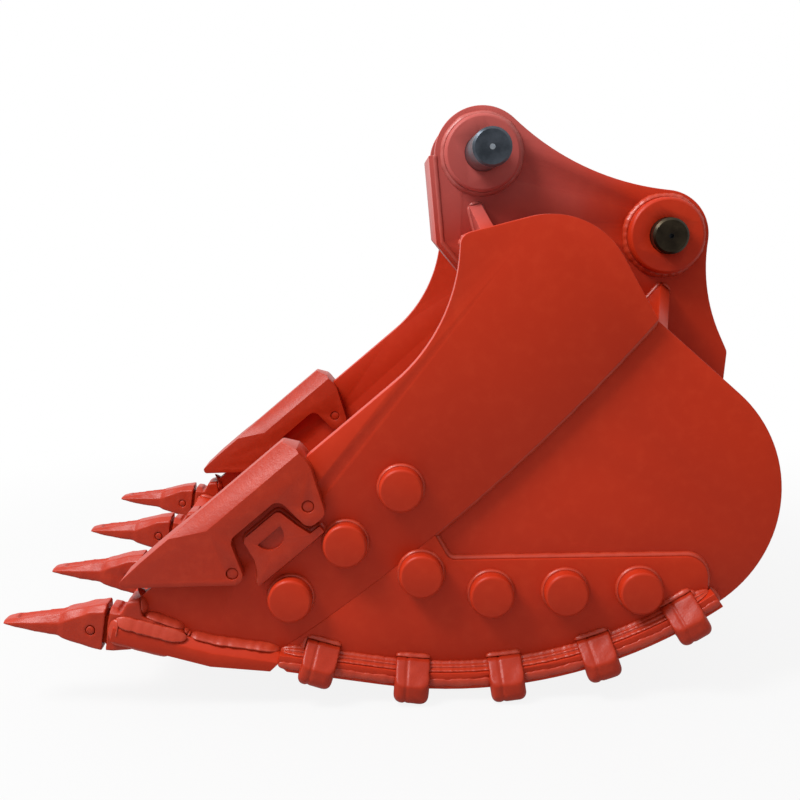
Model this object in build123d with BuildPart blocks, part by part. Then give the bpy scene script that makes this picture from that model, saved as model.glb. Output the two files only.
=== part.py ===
"""Rock bucket for a 20-tonne digger: a welded shell with cast teeth, side shrouds and heel shrouds.

Lengths are in millimetres and angles in degrees. The side view is drawn from the arm pin's axis:
x runs back towards the heel, y runs up, and the teeth point along -X. The finished bucket stands
on its heel shrouds with +Z up, centred on its length and width, with z = 0 at the ground.
Left is -Y, as seen by someone who looks the way the teeth point.
"""

import os
from math import cos, radians, sin, sqrt

from build123d import *

# Hinge: two eyes in two ear plates
PIN_DIAMETER = 80.0
PIN_PLAY = 0.05
PIN_LENGTH = 520.0
PIN_PROUD = 35.0
PIN_CHAMFER = 5.0
PIN_CENTRE_HOLE = 10.0
ARM_PIN_DRAWN = 215.0
PIN_SPACING = 450.0
PIN_LINE_ANGLE = -25.0
EAR_GAP = 310.0
EAR_THICKNESS = 45.0
FRONT_EYE_RADIUS = 105.0
REAR_EYE_RADIUS = 101.0
EAR_NECK_RADIUS = 605.0
TAIL_RADIUS = 393.0
TAIL_START_ANGLE = 8.0
TAIL_END_ANGLE = 24.0
TAIL_STRAIGHT = 42.0
TAIL_ROUNDING = 22.0
TAIL_TOE_SWEEP = 19.6
TAIL_TOE_HEIGHT = 14.0
BOSS_DIAMETER = 170.0
BOSS_WIDTH = 40.0
BOSS_CHAMFER = 6.0
FRONT_PLATE_THICKNESS = 14.0
FRONT_PLATE_TOP = 6.0
FRONT_PLATE_DROP = 187.0
FRONT_PLATE_LEAN = 4.0
TONGUE_ANGLE = 52.0
TONGUE_LENGTH = 98.0
TONGUE_REACH = 70.0

# Shell, measured on its inner surface and drawn from the hinge: the top's rolled corner comes first,
# then the plate up to the bend, the back and the heel; side plates stand proud of it all round
INNER_WIDTH = 1010.0
EDGE_LEDGE = 30.0
TOP_CENTRE_BACK = 106.9
TOP_CENTRE_DROP = 299.3
TOP_RADIUS = 125.0
TOP_ANGLE = 13.0
TOP_LENGTH = 141.0
HINGE_ANGLE = 61.5
HINGE_LENGTH = 151.0
UPPER_BACK_LENGTH = 236.0
BACK_ANGLE = 42.4
BACK_RADIUS = 238.0
HEEL_SWEEP = 33.6
HEEL_RADIUS = 943.0
FLOOR_ANGLE = 9.5
SHELL_THICKNESS = 20.0
BOTTOM_WEAR_THICKNESS = 14.0
BOTTOM_WEAR_BEVEL = 20.0
SIDE_PROUD = 20.0
TOP_PLATE_SETBACK = 12.0

# Side plates and their thick front bars
BAR_THICKNESS = 40.0
SIDE_THICKNESS = 25.0
SIDE_WEAR_THICKNESS = 15.0
BAR_ANGLE = 39.0
MOUTH_RADIUS = 370.0
THROAT_ANGLE = 86.0
THROAT_STRAIGHT = 29.0
THROAT_ROUNDING = 25.0
SEAM_BOW = 33.0
WEAR_PLATE_HEIGHT = 232.0
WEAR_SHOULDER_HEIGHT = 324.0
WEAR_SHOULDER_BACK = 305.0
WEAR_SHOULDER_RUN = 49.0
WEAR_END_SETBACK = 5.0
WEAR_END_DROP = 5.0
WEAR_CORNER_RADIUS = 45.0
WEAR_SHOULDER_RADIUS = 22.0

# Wear buttons welded on the sides
BUTTON_DIAMETER = 90.0
BUTTON_HEIGHT = 36.0
BUTTON_CHAMFER = 4.5
BAR_BUTTON_ALONG = 299.7
BAR_BUTTON_INSIDE = 200.1
BAR_BUTTON_TURN = 5.1
BAR_BUTTON_PITCH = 161.5
BAR_BUTTONS = 3
ROW_BUTTON_BACK = 438.0
ROW_BUTTON_DROP = 70.0
ROW_BUTTON_PITCH = 152.5
ROW_BUTTONS = 3
LONE_BUTTON_BACK = 295.0
LONE_BUTTON_DROP = 24.0

# Lip, adapters and teeth
LIP_ANGLE = 16.5
LIP_SLOPE_LENGTH = 209.1
LIP_FLAT_LENGTH = 134.0
LIP_THICKNESS = 45.0
LIP_REAR_THICKNESS = 38.0
LIP_BEVEL = 14.0
LIP_CHAMFER = 16.0
TEETH = 4
NOSE_ANGLE = 9.0
NOSE_DROP = 27.0
ADAPTER_WIDTH = 80.0
COLLAR_BACK = -6.0
COLLAR_FRONT = 13.0
COLLAR_BOTTOM = 44.0
COLLAR_SHOULDER = 38.0
COLLAR_CROWN = 49.0
HUMP_HEIGHT = 54.0
HUMP_FRONT_HEIGHT = 45.0
HUMP_FRONT = 14.0
HUMP_CHAMFER = 7.0
VALLEY_HEIGHT = 14.0
CHIN_SETBACK = 14.0
CHIN_DEPTH = 23.0
LEG_ROOT = 52.0
LEG_ROOT_THICKNESS = 19.0
LEG_TOP_LENGTH = 150.0
LEG_TIP_THICKNESS = 11.0
LEG_BOTTOM_LENGTH = 122.0
LEG_BOTTOM_TIP = 4.0
LEG_BOTTOM_ROOT = 9.0
NOSE_LENGTH = 92.0
NOSE_ROOT_WIDTH = 56.0
NOSE_ROOT_HEIGHT = 60.0
NOSE_TIP_WIDTH = 36.0
NOSE_TIP_HEIGHT = 24.0
NOSE_ROOT_LIFT = -3.0
NOSE_TIP_LIFT = -9.0
SOCKET_CLEARANCE = 0.5
TOOTH_GAP = 6.0
TOOTH_LENGTH = 212.0
LOCK_PIN_DIAMETER = 18.0
LOCK_PIN_CLEARANCE = 0.2
LOCK_PIN_AT = 47.0
LOCK_PIN_DROP = 5.0
SCOOP_RADIUS = 30.0
SCOOP_DEPTH = 4.5
SCOOP_FROM = 0.44
SCOOP_TO = 0.9

# A tooth's sections: share of its length, then width, bottom, shoulder and crown from the nose's axis
TOOTH_SECTIONS = [
    (0.0, 76.0, -47.5, 38.0, 52.0),
    (0.17, 74.0, -42.0, 31.0, 43.0),
    (0.40, 70.0, -33.0, 5.0, 24.0),
    (0.45, 65.0, -28.5, -1.0, 18.5),
    (0.67, 63.0, -28.0, -7.0, 7.0),
    (0.88, 57.0, -24.0, -12.5, -4.5),
    (0.97, 51.0, -22.0, -16.0, -11.0),
    (1.0, 46.0, -20.5, -18.0, -15.5),
]
TOOTH_CROWN_SHARE = 0.27
TOOTH_CORNER_SHARE = 0.06

# Side shrouds that straddle the bars, drawn along the bar's front edge
SHROUD_DATUM = 104.0
SHROUD_WIDTH = 100.0
SHROUD_CROWN_WIDTH = 40.0
SHROUD_CROWN = 57.0
SHROUD_CROWN_START = 20.0
SHROUD_CROWN_END = 396.0
SHROUD_TOE = 46.0
SHROUD_TOE_HEIGHT = 41.0
SHROUD_TOE_TOP = 54.0
SHROUD_TOE_SLANT = 3.0
SHROUD_TOE_ROUNDING = 8.0
SHROUD_END = 412.0
SHROUD_END_DEPTH = 15.0
SHROUD_END_HEIGHT = 28.0
SHROUD_SLOT_PLAY = 0.25
SHROUD_BEVEL_DROP = 42.0
SHROUD_BEVEL_START = 85.0
SHROUD_BEVEL_FULL = 165.0
SHROUD_BEVEL_FIRST = 0.05
SHROUD_EASE = 3.0
LOWER_LUG_AT = 152.0
LOWER_LUG_DEPTH = 118.0
UPPER_LUG_AT = 324.0
UPPER_LUG_WIDTH = 46.0
UPPER_LUG_DEPTH = 112.0
LUG_ROUNDING = 20.0
LUG_END_ROUNDING = 50.0
LUG_PIN_DIAMETER = 25.0
LUG_PIN_CLEARANCE = 0.2
LUG_PIN_RECESS = 2.0
LUG_PIN_RISE = 37.0
LUG_PIN_ASIDE = 7.0
NOTCH_START = 187.0
NOTCH_END = 318.0
NOTCH_DEPTH = 25.0
SHROUD_BOSS_THICKNESS = 22.0
SHROUD_BOSS_GAP = 9.0
SHROUD_BOSS_DEPTH = 137.0
SHROUD_BOSS_WAIST = 90.0
SHROUD_BOSS_LEAN = 9.0
SHROUD_BOSS_TOE = 34.0
SHROUD_BOSS_TOE_HEIGHT = 15.0
SHROUD_BOSS_ROUNDING = 12.0
RECESS_DEPTH = 8.0
RECESS_WIDTH = 60.0
RECESS_HEIGHT = 31.0
RECESS_TOP = 70.0

# Heel shrouds hooked round the edge of the bottom plates
HEEL_SHROUDS = 5
HEEL_SHROUDS_AHEAD = 2
HEEL_SHROUD_PITCH = 11.65
HEEL_SHROUD_WIDTH = 73.0
HEEL_SHROUD_TOP = 23.0
HEEL_SHROUD_BOTTOM = 63.0
HEEL_SHROUD_OUT = 30.0
HEEL_SHROUD_HEAD = 18.0
HEEL_SHROUD_UNDER = 70.0
HEEL_SHROUD_CORNER = 22.0
HEEL_SHROUD_ROUNDING = 16.0

# Gussets between the ears and the shell, and the plate between the ears
GUSSET_THICKNESS = 28.0
GUSSET_TOE = 8.0
FRONT_GUSSET_AT = 62.0
FRONT_GUSSET_HEIGHT = 66.0
FRONT_GUSSET_REACH = 240.0
REAR_GUSSET_AT = 43.0
REAR_GUSSET_BOSS_GAP = 21.5
REAR_GUSSET_REACH = 287.0
CROSS_PLATE_HEIGHT = 62.0

# Widths that follow from the sizes above
HALF_INNER = INNER_WIDTH / 2
BAR_FACE = HALF_INNER + BAR_THICKNESS
BAR_CENTRE = HALF_INNER + BAR_THICKNESS / 2
SIDE_FACE = HALF_INNER + SIDE_THICKNESS
WEAR_FACE = SIDE_FACE + SIDE_WEAR_THICKNESS
HALF_EDGE = BAR_FACE + EDGE_LEDGE
EAR_INNER = EAR_GAP / 2
EAR_OUTER = EAR_INNER + EAR_THICKNESS
BORE_RADIUS = PIN_DIAMETER / 2 + PIN_PLAY
OUTLINE = SHELL_THICKNESS + SIDE_PROUD
PACK = SHELL_THICKNESS + BOTTOM_WEAR_THICKNESS


def heading(angle: float) -> Vector:
    """Unit vector at an angle above +x."""
    return Vector(cos(radians(angle)), sin(radians(angle)))


def outward(angle: float) -> Vector:
    """Unit vector at an angle round from straight down, towards the back."""
    return Vector(sin(radians(angle)), -cos(radians(angle)))


def crossing(start: Vector, angle: float, other: Vector, other_angle: float) -> Vector:
    """Point where two lines meet, each given by a point and an angle."""
    along, across = heading(angle), heading(other_angle + 90)
    return start + along * ((other - start).dot(across) / along.dot(across))


def mitre(corner: Vector, first: Vector, second: Vector, depth: float) -> Vector:
    """Corner of two surfaces after both move by a depth along their unit normals."""
    return corner + (first + second) * (depth / (1 + first.dot(second)))


def heel(angle: float, depth: float = 0) -> Vector:
    """Point on the rolled heel, at a depth outside the inner surface."""
    return HEEL_CENTRE + outward(angle) * (HEEL_RADIUS + depth)


def back(angle: float, depth: float = 0) -> Vector:
    """Point on the rolled back, at a depth outside the inner surface."""
    return BACK_CENTRE + outward(angle) * (BACK_RADIUS + depth)


def bend(depth: float = 0) -> Vector:
    """Bend between the back and the hinge plate, at a depth outside the inner surface."""
    return mitre(BEND, outward(BACK_END), outward(HINGE_END), depth)


def hood(angle: float, depth: float = 0) -> Vector:
    """Point on the rolled top, at a depth outside the inner surface."""
    return TOP_CENTRE + outward(angle) * (TOP_RADIUS + depth)


def throat(depth: float = 0, setback: float = 0) -> Vector:
    """Front end of the top plate, at a depth outside the inner surface."""
    return hood(HOOD_END, depth) + heading(HOOD_END) * (TOP_LENGTH - setback)


def lip_bend(depth: float = 0) -> Vector:
    """Slight bend of the lip, at a depth below its top."""
    corner = LIP_EDGE - heading(180 - LIP_ANGLE) * LIP_SLOPE_LENGTH
    return mitre(corner, outward(-FLOOR_ANGLE), outward(-LIP_ANGLE), depth)


def floor_front(depth: float = 0, forward: float = 0) -> Vector:
    """Point where the floor ends and the lip starts, at a depth below the inner surface."""
    corner = lip_bend() - heading(180 - FLOOR_ANGLE) * (LIP_FLAT_LENGTH - forward)
    return corner + outward(-FLOOR_ANGLE) * depth


# Corners of the side view
BACK_END = 180 - BACK_ANGLE
HINGE_END = 180 - HINGE_ANGLE
HOOD_END = 180 + TOP_ANGLE
TOP_CENTRE = Vector(TOP_CENTRE_BACK, -TOP_CENTRE_DROP)
BEND = TOP_CENTRE + outward(HINGE_END) * TOP_RADIUS - heading(HINGE_END) * HINGE_LENGTH
BACK_CENTRE = BEND - heading(BACK_END) * UPPER_BACK_LENGTH - outward(BACK_END) * BACK_RADIUS
HEEL_CENTRE = BACK_CENTRE - outward(HEEL_SWEEP) * (HEEL_RADIUS - BACK_RADIUS)
MOUTH_TOP = throat(OUTLINE) - heading(THROAT_ANGLE) * THROAT_STRAIGHT
MOUTH_CENTRE = MOUTH_TOP - outward(THROAT_ANGLE) * MOUTH_RADIUS
MOUTH_FOOT = MOUTH_CENTRE + outward(BAR_ANGLE) * MOUTH_RADIUS
LIP_BEND_ADVANCE = heading(180 - LIP_ANGLE) * LIP_SLOPE_LENGTH
LIP_EDGE = crossing(MOUTH_FOOT, BAR_ANGLE, heel(-FLOOR_ANGLE) + LIP_BEND_ADVANCE, -FLOOR_ANGLE)
LINK_PIN = heading(PIN_LINE_ANGLE) * PIN_SPACING


def on_lip(along: float, above: float) -> Vector:
    """Point near the lip, from its front top edge: forward along it, and above its top."""
    return LIP_EDGE + heading(180 - LIP_ANGLE) * along - outward(-LIP_ANGLE) * above


# Frame of the noses and teeth: forward along the nose, and square to it
NOSE_FORWARD = heading(180 - NOSE_ANGLE)
NOSE_START = on_lip(0, -NOSE_DROP)
NOSE_UP = heading(90 - NOSE_ANGLE)
TOOTH_BACK = COLLAR_FRONT + TOOTH_GAP


def on_nose(along: float, above: float = 0) -> Vector:
    """Point near a nose: forward along its axis, and above it."""
    return NOSE_START + NOSE_FORWARD * along + NOSE_UP * above


TOOTH_TIP = on_nose(TOOTH_BACK + TOOTH_LENGTH, TOOTH_SECTIONS[-1][2])

# The back of the adapter's hump lies on the bar's front edge, which is welded to it
HUMP_BACK = crossing(MOUTH_FOOT, BAR_ANGLE, on_lip(0, HUMP_HEIGHT), -LIP_ANGLE)
LEG_CROWN = [
    HUMP_BACK,
    on_lip(-LEG_ROOT, LEG_ROOT_THICKNESS),
    on_lip(LEG_TIP_THICKNESS - LEG_TOP_LENGTH, LEG_TIP_THICKNESS),
    on_lip(-LEG_TOP_LENGTH, 0),
]

# Standing height: two heel shrouds share the load, half a pitch either side of the lowest point
SHROUD_SOLE = HEEL_RADIUS + HEEL_SHROUD_BOTTOM
STANDING_ANGLE = HEEL_SHROUD_PITCH / 2
STANDING_HEIGHT = (
    (SHROUD_SOLE - HEEL_SHROUD_ROUNDING) * cos(radians(STANDING_ANGLE))
    + (HEEL_SHROUD_WIDTH / 2 - HEEL_SHROUD_ROUNDING) * sin(radians(STANDING_ANGLE))
    + HEEL_SHROUD_ROUNDING
)
ORIGIN_X = -(TOOTH_TIP.X + BACK_CENTRE.X + BACK_RADIUS + OUTLINE) / 2
ORIGIN_Z = STANDING_HEIGHT - HEEL_CENTRE.Y


def place(point: Vector, y: float = 0) -> Vector:
    """Point of the side view as a point of the standing bucket."""
    return Vector(ORIGIN_X + point.X, y, ORIGIN_Z + point.Y)


def side(y: float = 0, origin: Vector = Vector(0, 0), angle: float = 0) -> Plane:
    """Plane of the side view at one width, which faces left; it may be moved and turned."""
    along = heading(angle)
    return Plane(origin=place(origin, y), x_dir=(along.X, 0, along.Y), z_dir=(0, -1, 0))


def across(origin: Vector, forward: Vector, y: float = 0) -> Plane:
    """Plane square to a direction of the side view: its x runs left and its z runs forward."""
    return Plane(origin=place(origin, y), x_dir=(0, -1, 0), z_dir=(forward.X, 0, forward.Y))


def finish(builder: BuildPart, name: str) -> None:
    """Label a finished piece and write it."""
    builder.part.label = name
    export_step(builder.part, f"parts/{name}.step")


def finish_pair(builder: BuildPart, name: str) -> None:
    """Write a left piece and its mirror image on the right."""
    finish(builder, f"{name}_left")
    with BuildPart() as opposite:
        mirror(builder.part, about=Plane.XZ)
    finish(opposite, f"{name}_right")


def closed(*points: Vector) -> None:
    """Add a straight-sided face to the sketch in hand."""
    with BuildLine() as outline:
        Polyline(*points, close=True)
    make_face(outline.edges())


def floor_section(inner: float, outer: float, bevel: float = 0) -> None:
    """Add the section of a plate that lines the floor and the heel; its lower front edge may be bevelled."""
    with BuildLine() as outline:
        for depth, forward in ((inner, 0), (outer, -bevel)):
            Line(floor_front(depth, forward), heel(-FLOOR_ANGLE, depth))
            CenterArc(HEEL_CENTRE, HEEL_RADIUS + depth, -90 - FLOOR_ANGLE, FLOOR_ANGLE + HEEL_SWEEP)
        Line(floor_front(inner), floor_front(outer, -bevel))
        Line(heel(HEEL_SWEEP, inner), heel(HEEL_SWEEP, outer))
    make_face(outline.edges())


def wrapper_section(inner: float, outer: float, mode: Mode = Mode.ADD) -> None:
    """Add the section of a plate that follows the back up to the bend."""
    with BuildLine() as outline:
        for depth in (inner, outer):
            CenterArc(BACK_CENTRE, BACK_RADIUS + depth, HEEL_SWEEP - 90, BACK_END - HEEL_SWEEP)
            Line(back(BACK_END, depth), bend(depth))
        Line(back(HEEL_SWEEP, inner), back(HEEL_SWEEP, outer))
        Line(bend(inner), bend(outer))
    make_face(outline.edges(), mode=mode)


def top_section(inner: float, outer: float, setback: float, mode: Mode = Mode.ADD) -> None:
    """Add the section of a plate that follows the top from the bend to the throat."""
    with BuildLine() as outline:
        for depth in (inner, outer):
            Line(bend(depth), hood(HINGE_END, depth))
            CenterArc(TOP_CENTRE, TOP_RADIUS + depth, HINGE_END - 90, HOOD_END - HINGE_END)
            Line(hood(HOOD_END, depth), throat(depth, setback))
        Line(bend(inner), bend(outer))
        Line(throat(inner, setback), throat(outer, setback))
    make_face(outline.edges(), mode=mode)


def side_plate_section() -> None:
    """Add the outline of the thin rear part of a side, which stands on the base plate."""
    with BuildLine() as outline:
        SagittaArc(bend(OUTLINE), floor_front(), SEAM_BOW)
        Line(floor_front(), heel(-FLOOR_ANGLE))
        CenterArc(HEEL_CENTRE, HEEL_RADIUS, -90 - FLOOR_ANGLE, FLOOR_ANGLE + HEEL_SWEEP)
        Line(heel(HEEL_SWEEP), heel(HEEL_SWEEP, OUTLINE))
        CenterArc(BACK_CENTRE, BACK_RADIUS + OUTLINE, HEEL_SWEEP - 90, BACK_END - HEEL_SWEEP)
        Line(back(BACK_END, OUTLINE), bend(OUTLINE))
    make_face(outline.edges())


def side_bar_section() -> None:
    """Add the outline of the thick front part of a side, from the throat to the lip."""
    with BuildLine() as outline:
        SagittaArc(bend(OUTLINE), floor_front(), SEAM_BOW)
        Line(bend(OUTLINE), hood(HINGE_END, OUTLINE))
        CenterArc(TOP_CENTRE, TOP_RADIUS + OUTLINE, HINGE_END - 90, HOOD_END - HINGE_END)
        Polyline(hood(HOOD_END, OUTLINE), throat(OUTLINE), MOUTH_TOP)
        CenterArc(MOUTH_CENTRE, MOUTH_RADIUS, BAR_ANGLE - 90, THROAT_ANGLE - BAR_ANGLE)
        Polyline(MOUTH_FOOT, *LEG_CROWN, lip_bend(), floor_front())
    make_face(outline.edges())


os.makedirs("parts", exist_ok=True)

# Lip plate
with BuildPart() as lip_plate:
    with BuildSketch(side()):
        closed(
            floor_front(), lip_bend(), LIP_EDGE, on_lip(0, -LIP_THICKNESS), lip_bend(LIP_THICKNESS),
            floor_front(LIP_REAR_THICKNESS, LIP_BEVEL), floor_front(SHELL_THICKNESS),
        )
    extrude(amount=HALF_EDGE, both=True)
    top_middles = ((LIP_EDGE + lip_bend()) / 2, (lip_bend() + floor_front()) / 2)
    top_edges = [
        lip_plate.edges().sort_by_distance(place(middle, y))[0]
        for middle in top_middles for y in (-HALF_EDGE, HALF_EDGE)
    ]
    chamfer(top_edges, LIP_CHAMFER)
finish(lip_plate, "lip_plate")

# Base plate and the wear plate under it
with BuildPart() as base_plate:
    with BuildSketch(side()):
        floor_section(0, SHELL_THICKNESS)
    extrude(amount=HALF_EDGE, both=True)
finish(base_plate, "base_plate")

with BuildPart() as bottom_wear_plate:
    with BuildSketch(side()):
        floor_section(SHELL_THICKNESS, PACK, BOTTOM_WEAR_BEVEL)
    extrude(amount=HALF_EDGE, both=True)
finish(bottom_wear_plate, "bottom_wear_plate")

# Rolled back and top plate, between the sides
with BuildPart() as wrapper_plate:
    with BuildSketch(side()):
        wrapper_section(0, SHELL_THICKNESS)
    extrude(amount=HALF_INNER, both=True)
finish(wrapper_plate, "wrapper_plate")

with BuildPart() as top_plate:
    with BuildSketch(side()):
        top_section(0, SHELL_THICKNESS, TOP_PLATE_SETBACK)
    extrude(amount=HALF_INNER, both=True)
finish(top_plate, "top_plate")

# Side plates
with BuildPart() as side_plate:
    with BuildSketch(side(-HALF_INNER)):
        side_plate_section()
    extrude(amount=SIDE_THICKNESS)
finish_pair(side_plate, "side_plate")

# Places of the shroud pins, from a datum on the bar's front edge: along it, and square to it
SHROUD_ORIGIN = LIP_EDGE + heading(BAR_ANGLE) * SHROUD_DATUM
UPPER_LUG_CENTRE = UPPER_LUG_AT + UPPER_LUG_WIDTH / 2
LUG_POINTS = [
    (LOWER_LUG_AT - LUG_PIN_ASIDE, LUG_PIN_RISE - LOWER_LUG_DEPTH),
    (UPPER_LUG_CENTRE + LUG_PIN_ASIDE, LUG_PIN_RISE - UPPER_LUG_DEPTH),
]

with BuildPart() as side_bar:
    with BuildSketch(side(-HALF_INNER)) as bar_outline:
        side_bar_section()
        fillet(bar_outline.vertices().sort_by_distance(throat(OUTLINE))[0], THROAT_ROUNDING)
    extrude(amount=BAR_THICKNESS)
    with BuildSketch(side(-HALF_INNER, SHROUD_ORIGIN, BAR_ANGLE)):
        with Locations(*LUG_POINTS):
            Circle(LUG_PIN_DIAMETER / 2 + LUG_PIN_CLEARANCE)
    extrude(amount=BAR_THICKNESS, mode=Mode.SUBTRACT)
finish_pair(side_bar, "side_bar")

# Wear plates on the lower sides, flush with the bars; heights are above the heel's lowest point,
# and the other corners lie outside the side plate's outline
WEAR_PLATE_TOP = heel(0).Y + WEAR_PLATE_HEIGHT
WEAR_SHOULDER_TOP = heel(0).Y + WEAR_SHOULDER_HEIGHT
WEAR_SHOULDER_X = floor_front().X + WEAR_SHOULDER_BACK
with BuildPart() as side_wear_plate:
    with BuildSketch(side(-SIDE_FACE)):
        side_plate_section()
        far_front, far_below = floor_front().X, heel(0).Y
        end_x = heel(HEEL_SWEEP).X - WEAR_END_SETBACK
        with BuildLine():
            FilletPolyline(
                (far_front, far_below),
                (far_front, WEAR_SHOULDER_TOP),
                (WEAR_SHOULDER_X, WEAR_SHOULDER_TOP),
                (WEAR_SHOULDER_X + WEAR_SHOULDER_RUN, WEAR_PLATE_TOP),
                (end_x, WEAR_PLATE_TOP - WEAR_END_DROP),
                (end_x, far_below),
                radius=[WEAR_SHOULDER_RADIUS] * 4 + [WEAR_CORNER_RADIUS, WEAR_SHOULDER_RADIUS],
                close=True,
            )
        make_face(mode=Mode.INTERSECT)
    extrude(amount=SIDE_WEAR_THICKNESS)
finish_pair(side_wear_plate, "side_wear_plate")

# Wear buttons: a line up the bar, a row on the wear plate, and one by itself near its top
bar_first = LIP_EDGE + heading(BAR_ANGLE) * BAR_BUTTON_ALONG + outward(BAR_ANGLE) * BAR_BUTTON_INSIDE
row_first = Vector(floor_front().X + ROW_BUTTON_BACK, WEAR_PLATE_TOP - ROW_BUTTON_DROP)
lone = Vector(floor_front().X + LONE_BUTTON_BACK, WEAR_PLATE_TOP - LONE_BUTTON_DROP)
button_points = [
    bar_first + heading(BAR_ANGLE + BAR_BUTTON_TURN) * (BAR_BUTTON_PITCH * i) for i in range(BAR_BUTTONS)
]
button_points += [row_first + Vector(ROW_BUTTON_PITCH * i, 0) for i in range(ROW_BUTTONS)]
button_points.append(lone)
with BuildPart() as wear_buttons:
    with BuildSketch(side(-WEAR_FACE)):
        with Locations(*button_points):
            Circle(BUTTON_DIAMETER / 2)
    extrude(amount=BUTTON_HEIGHT)
    chamfer(wear_buttons.faces().sort_by(Axis.Y)[: len(button_points)].edges(), BUTTON_CHAMFER)
finish_pair(wear_buttons, "wear_buttons")


def crowned_section(width: float, bottom: float, shoulder: float, crown: float) -> None:
    """Add a tooth's section: flat sides, a broad crown and slightly cut lower corners."""
    half, flat = width / 2, width * TOOTH_CROWN_SHARE
    cut = min(width * TOOTH_CORNER_SHARE, (shoulder - bottom) / 3)
    closed(
        Vector(-half, bottom + cut), Vector(cut - half, bottom), Vector(half - cut, bottom),
        Vector(half, bottom + cut), Vector(half, shoulder), Vector(flat, crown),
        Vector(-flat, crown), Vector(-half, shoulder),
    )


def nose_solid(start: float, end: float, clearance: float, mode: Mode, y: float) -> None:
    """Add or cut the tapered nose of an adapter, grown all round by a clearance."""
    sections = []
    for at in (start, end):
        share = (at - COLLAR_FRONT) / NOSE_LENGTH
        width = NOSE_ROOT_WIDTH + (NOSE_TIP_WIDTH - NOSE_ROOT_WIDTH) * share + 2 * clearance
        height = NOSE_ROOT_HEIGHT + (NOSE_TIP_HEIGHT - NOSE_ROOT_HEIGHT) * share + 2 * clearance
        lift = NOSE_ROOT_LIFT + (NOSE_TIP_LIFT - NOSE_ROOT_LIFT) * share
        with BuildSketch(across(on_nose(at), NOSE_FORWARD, y)) as section:
            with Locations((0, lift)):
                Rectangle(width, height)
        sections.append(section.sketch)
    loft(sections, ruled=True, mode=mode)


def lock_pin_solid(length: float, clearance: float, mode: Mode, y: float) -> None:
    """Add or cut the cross pin that holds a tooth on its nose."""
    with BuildSketch(side(y, on_nose(LOCK_PIN_AT, -LOCK_PIN_DROP))) as section:
        Circle(LOCK_PIN_DIAMETER / 2 + clearance)
    extrude(section.sketch, amount=length / 2, both=True, mode=mode)


def tooth_crown(share: float) -> float:
    """Height of a tooth's crown above the nose's axis, at a share of its length."""
    behind = [section for section in TOOTH_SECTIONS if section[0] <= share][-1]
    ahead = [section for section in TOOTH_SECTIONS if section[0] > share][0]
    return behind[-1] + (ahead[-1] - behind[-1]) * (share - behind[0]) / (ahead[0] - behind[0])


ROW = [BAR_CENTRE * (2 * i / (TEETH - 1) - 1) for i in range(TEETH)]

# Tooth adapters: nose, collar, hump, top leg and bottom leg round the lip's edge
for number, y in enumerate(ROW, start=1):
    with BuildPart() as adapter:
        with BuildSketch(side(y)):
            closed(
                *LEG_CROWN, LIP_EDGE, on_lip(0, -LIP_THICKNESS),
                on_lip(-LEG_BOTTOM_LENGTH, -LIP_THICKNESS),
                on_lip(-LEG_BOTTOM_LENGTH, -LIP_THICKNESS - LEG_BOTTOM_TIP),
                on_lip(-LEG_ROOT, -LIP_THICKNESS - LEG_BOTTOM_ROOT),
                on_lip(-CHIN_SETBACK, -LIP_THICKNESS - CHIN_DEPTH),
                on_nose(COLLAR_FRONT, -COLLAR_BOTTOM), on_nose(COLLAR_FRONT, COLLAR_SHOULDER),
                on_lip(-HUMP_FRONT / 2, VALLEY_HEIGHT), on_lip(-HUMP_FRONT, HUMP_FRONT_HEIGHT),
            )
        extrude(amount=ADAPTER_WIDTH / 2, both=True)
        hump_top = adapter.faces().sort_by_distance(
            place((HUMP_BACK + on_lip(-HUMP_FRONT, HUMP_FRONT_HEIGHT)) / 2, y)
        )[0]
        chamfer(hump_top.edges().filter_by(Axis.Y, reverse=True), HUMP_CHAMFER)
        for at in (COLLAR_BACK, COLLAR_FRONT):
            with BuildSketch(across(on_nose(at), NOSE_FORWARD, y)):
                crowned_section(ADAPTER_WIDTH, -COLLAR_BOTTOM, COLLAR_SHOULDER, COLLAR_CROWN)
        loft(ruled=True)
        with BuildSketch(side(y)):
            closed(
                on_lip(0, 0), on_lip(0, -LIP_THICKNESS),
                on_lip(-LEG_BOTTOM_LENGTH, -LIP_THICKNESS), on_lip(-LEG_BOTTOM_LENGTH, 0),
            )
        extrude(amount=ADAPTER_WIDTH, both=True, mode=Mode.SUBTRACT)
        nose_solid(COLLAR_FRONT, COLLAR_FRONT + NOSE_LENGTH, 0, Mode.ADD, y)
        lock_pin_solid(ADAPTER_WIDTH, LOCK_PIN_CLEARANCE, Mode.SUBTRACT, y)
    finish(adapter, f"tooth_adapter_{number}")

# Tooth points, scooped on top, each with the socket for its nose
for number, y in enumerate(ROW, start=1):
    with BuildPart() as tooth:
        for share, *sizes in TOOTH_SECTIONS:
            with BuildSketch(across(on_nose(TOOTH_BACK + TOOTH_LENGTH * share), NOSE_FORWARD, y)):
                crowned_section(*sizes)
        loft(ruled=True)
        scoop_ends = [
            on_nose(TOOTH_BACK + TOOTH_LENGTH * share, tooth_crown(share) + SCOOP_RADIUS - SCOOP_DEPTH)
            for share in (SCOOP_FROM, SCOOP_TO)
        ]
        scoop_run = scoop_ends[1] - scoop_ends[0]
        with BuildSketch(across(scoop_ends[0], scoop_run.normalized(), y)):
            Circle(SCOOP_RADIUS)
        extrude(amount=scoop_run.length, mode=Mode.SUBTRACT)
        socket_end = COLLAR_FRONT + NOSE_LENGTH + SOCKET_CLEARANCE
        nose_solid(TOOTH_BACK, socket_end, SOCKET_CLEARANCE, Mode.SUBTRACT, y)
        lock_pin_solid(ADAPTER_WIDTH, LOCK_PIN_CLEARANCE, Mode.SUBTRACT, y)
    finish(tooth, f"tooth_point_{number}")

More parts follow.
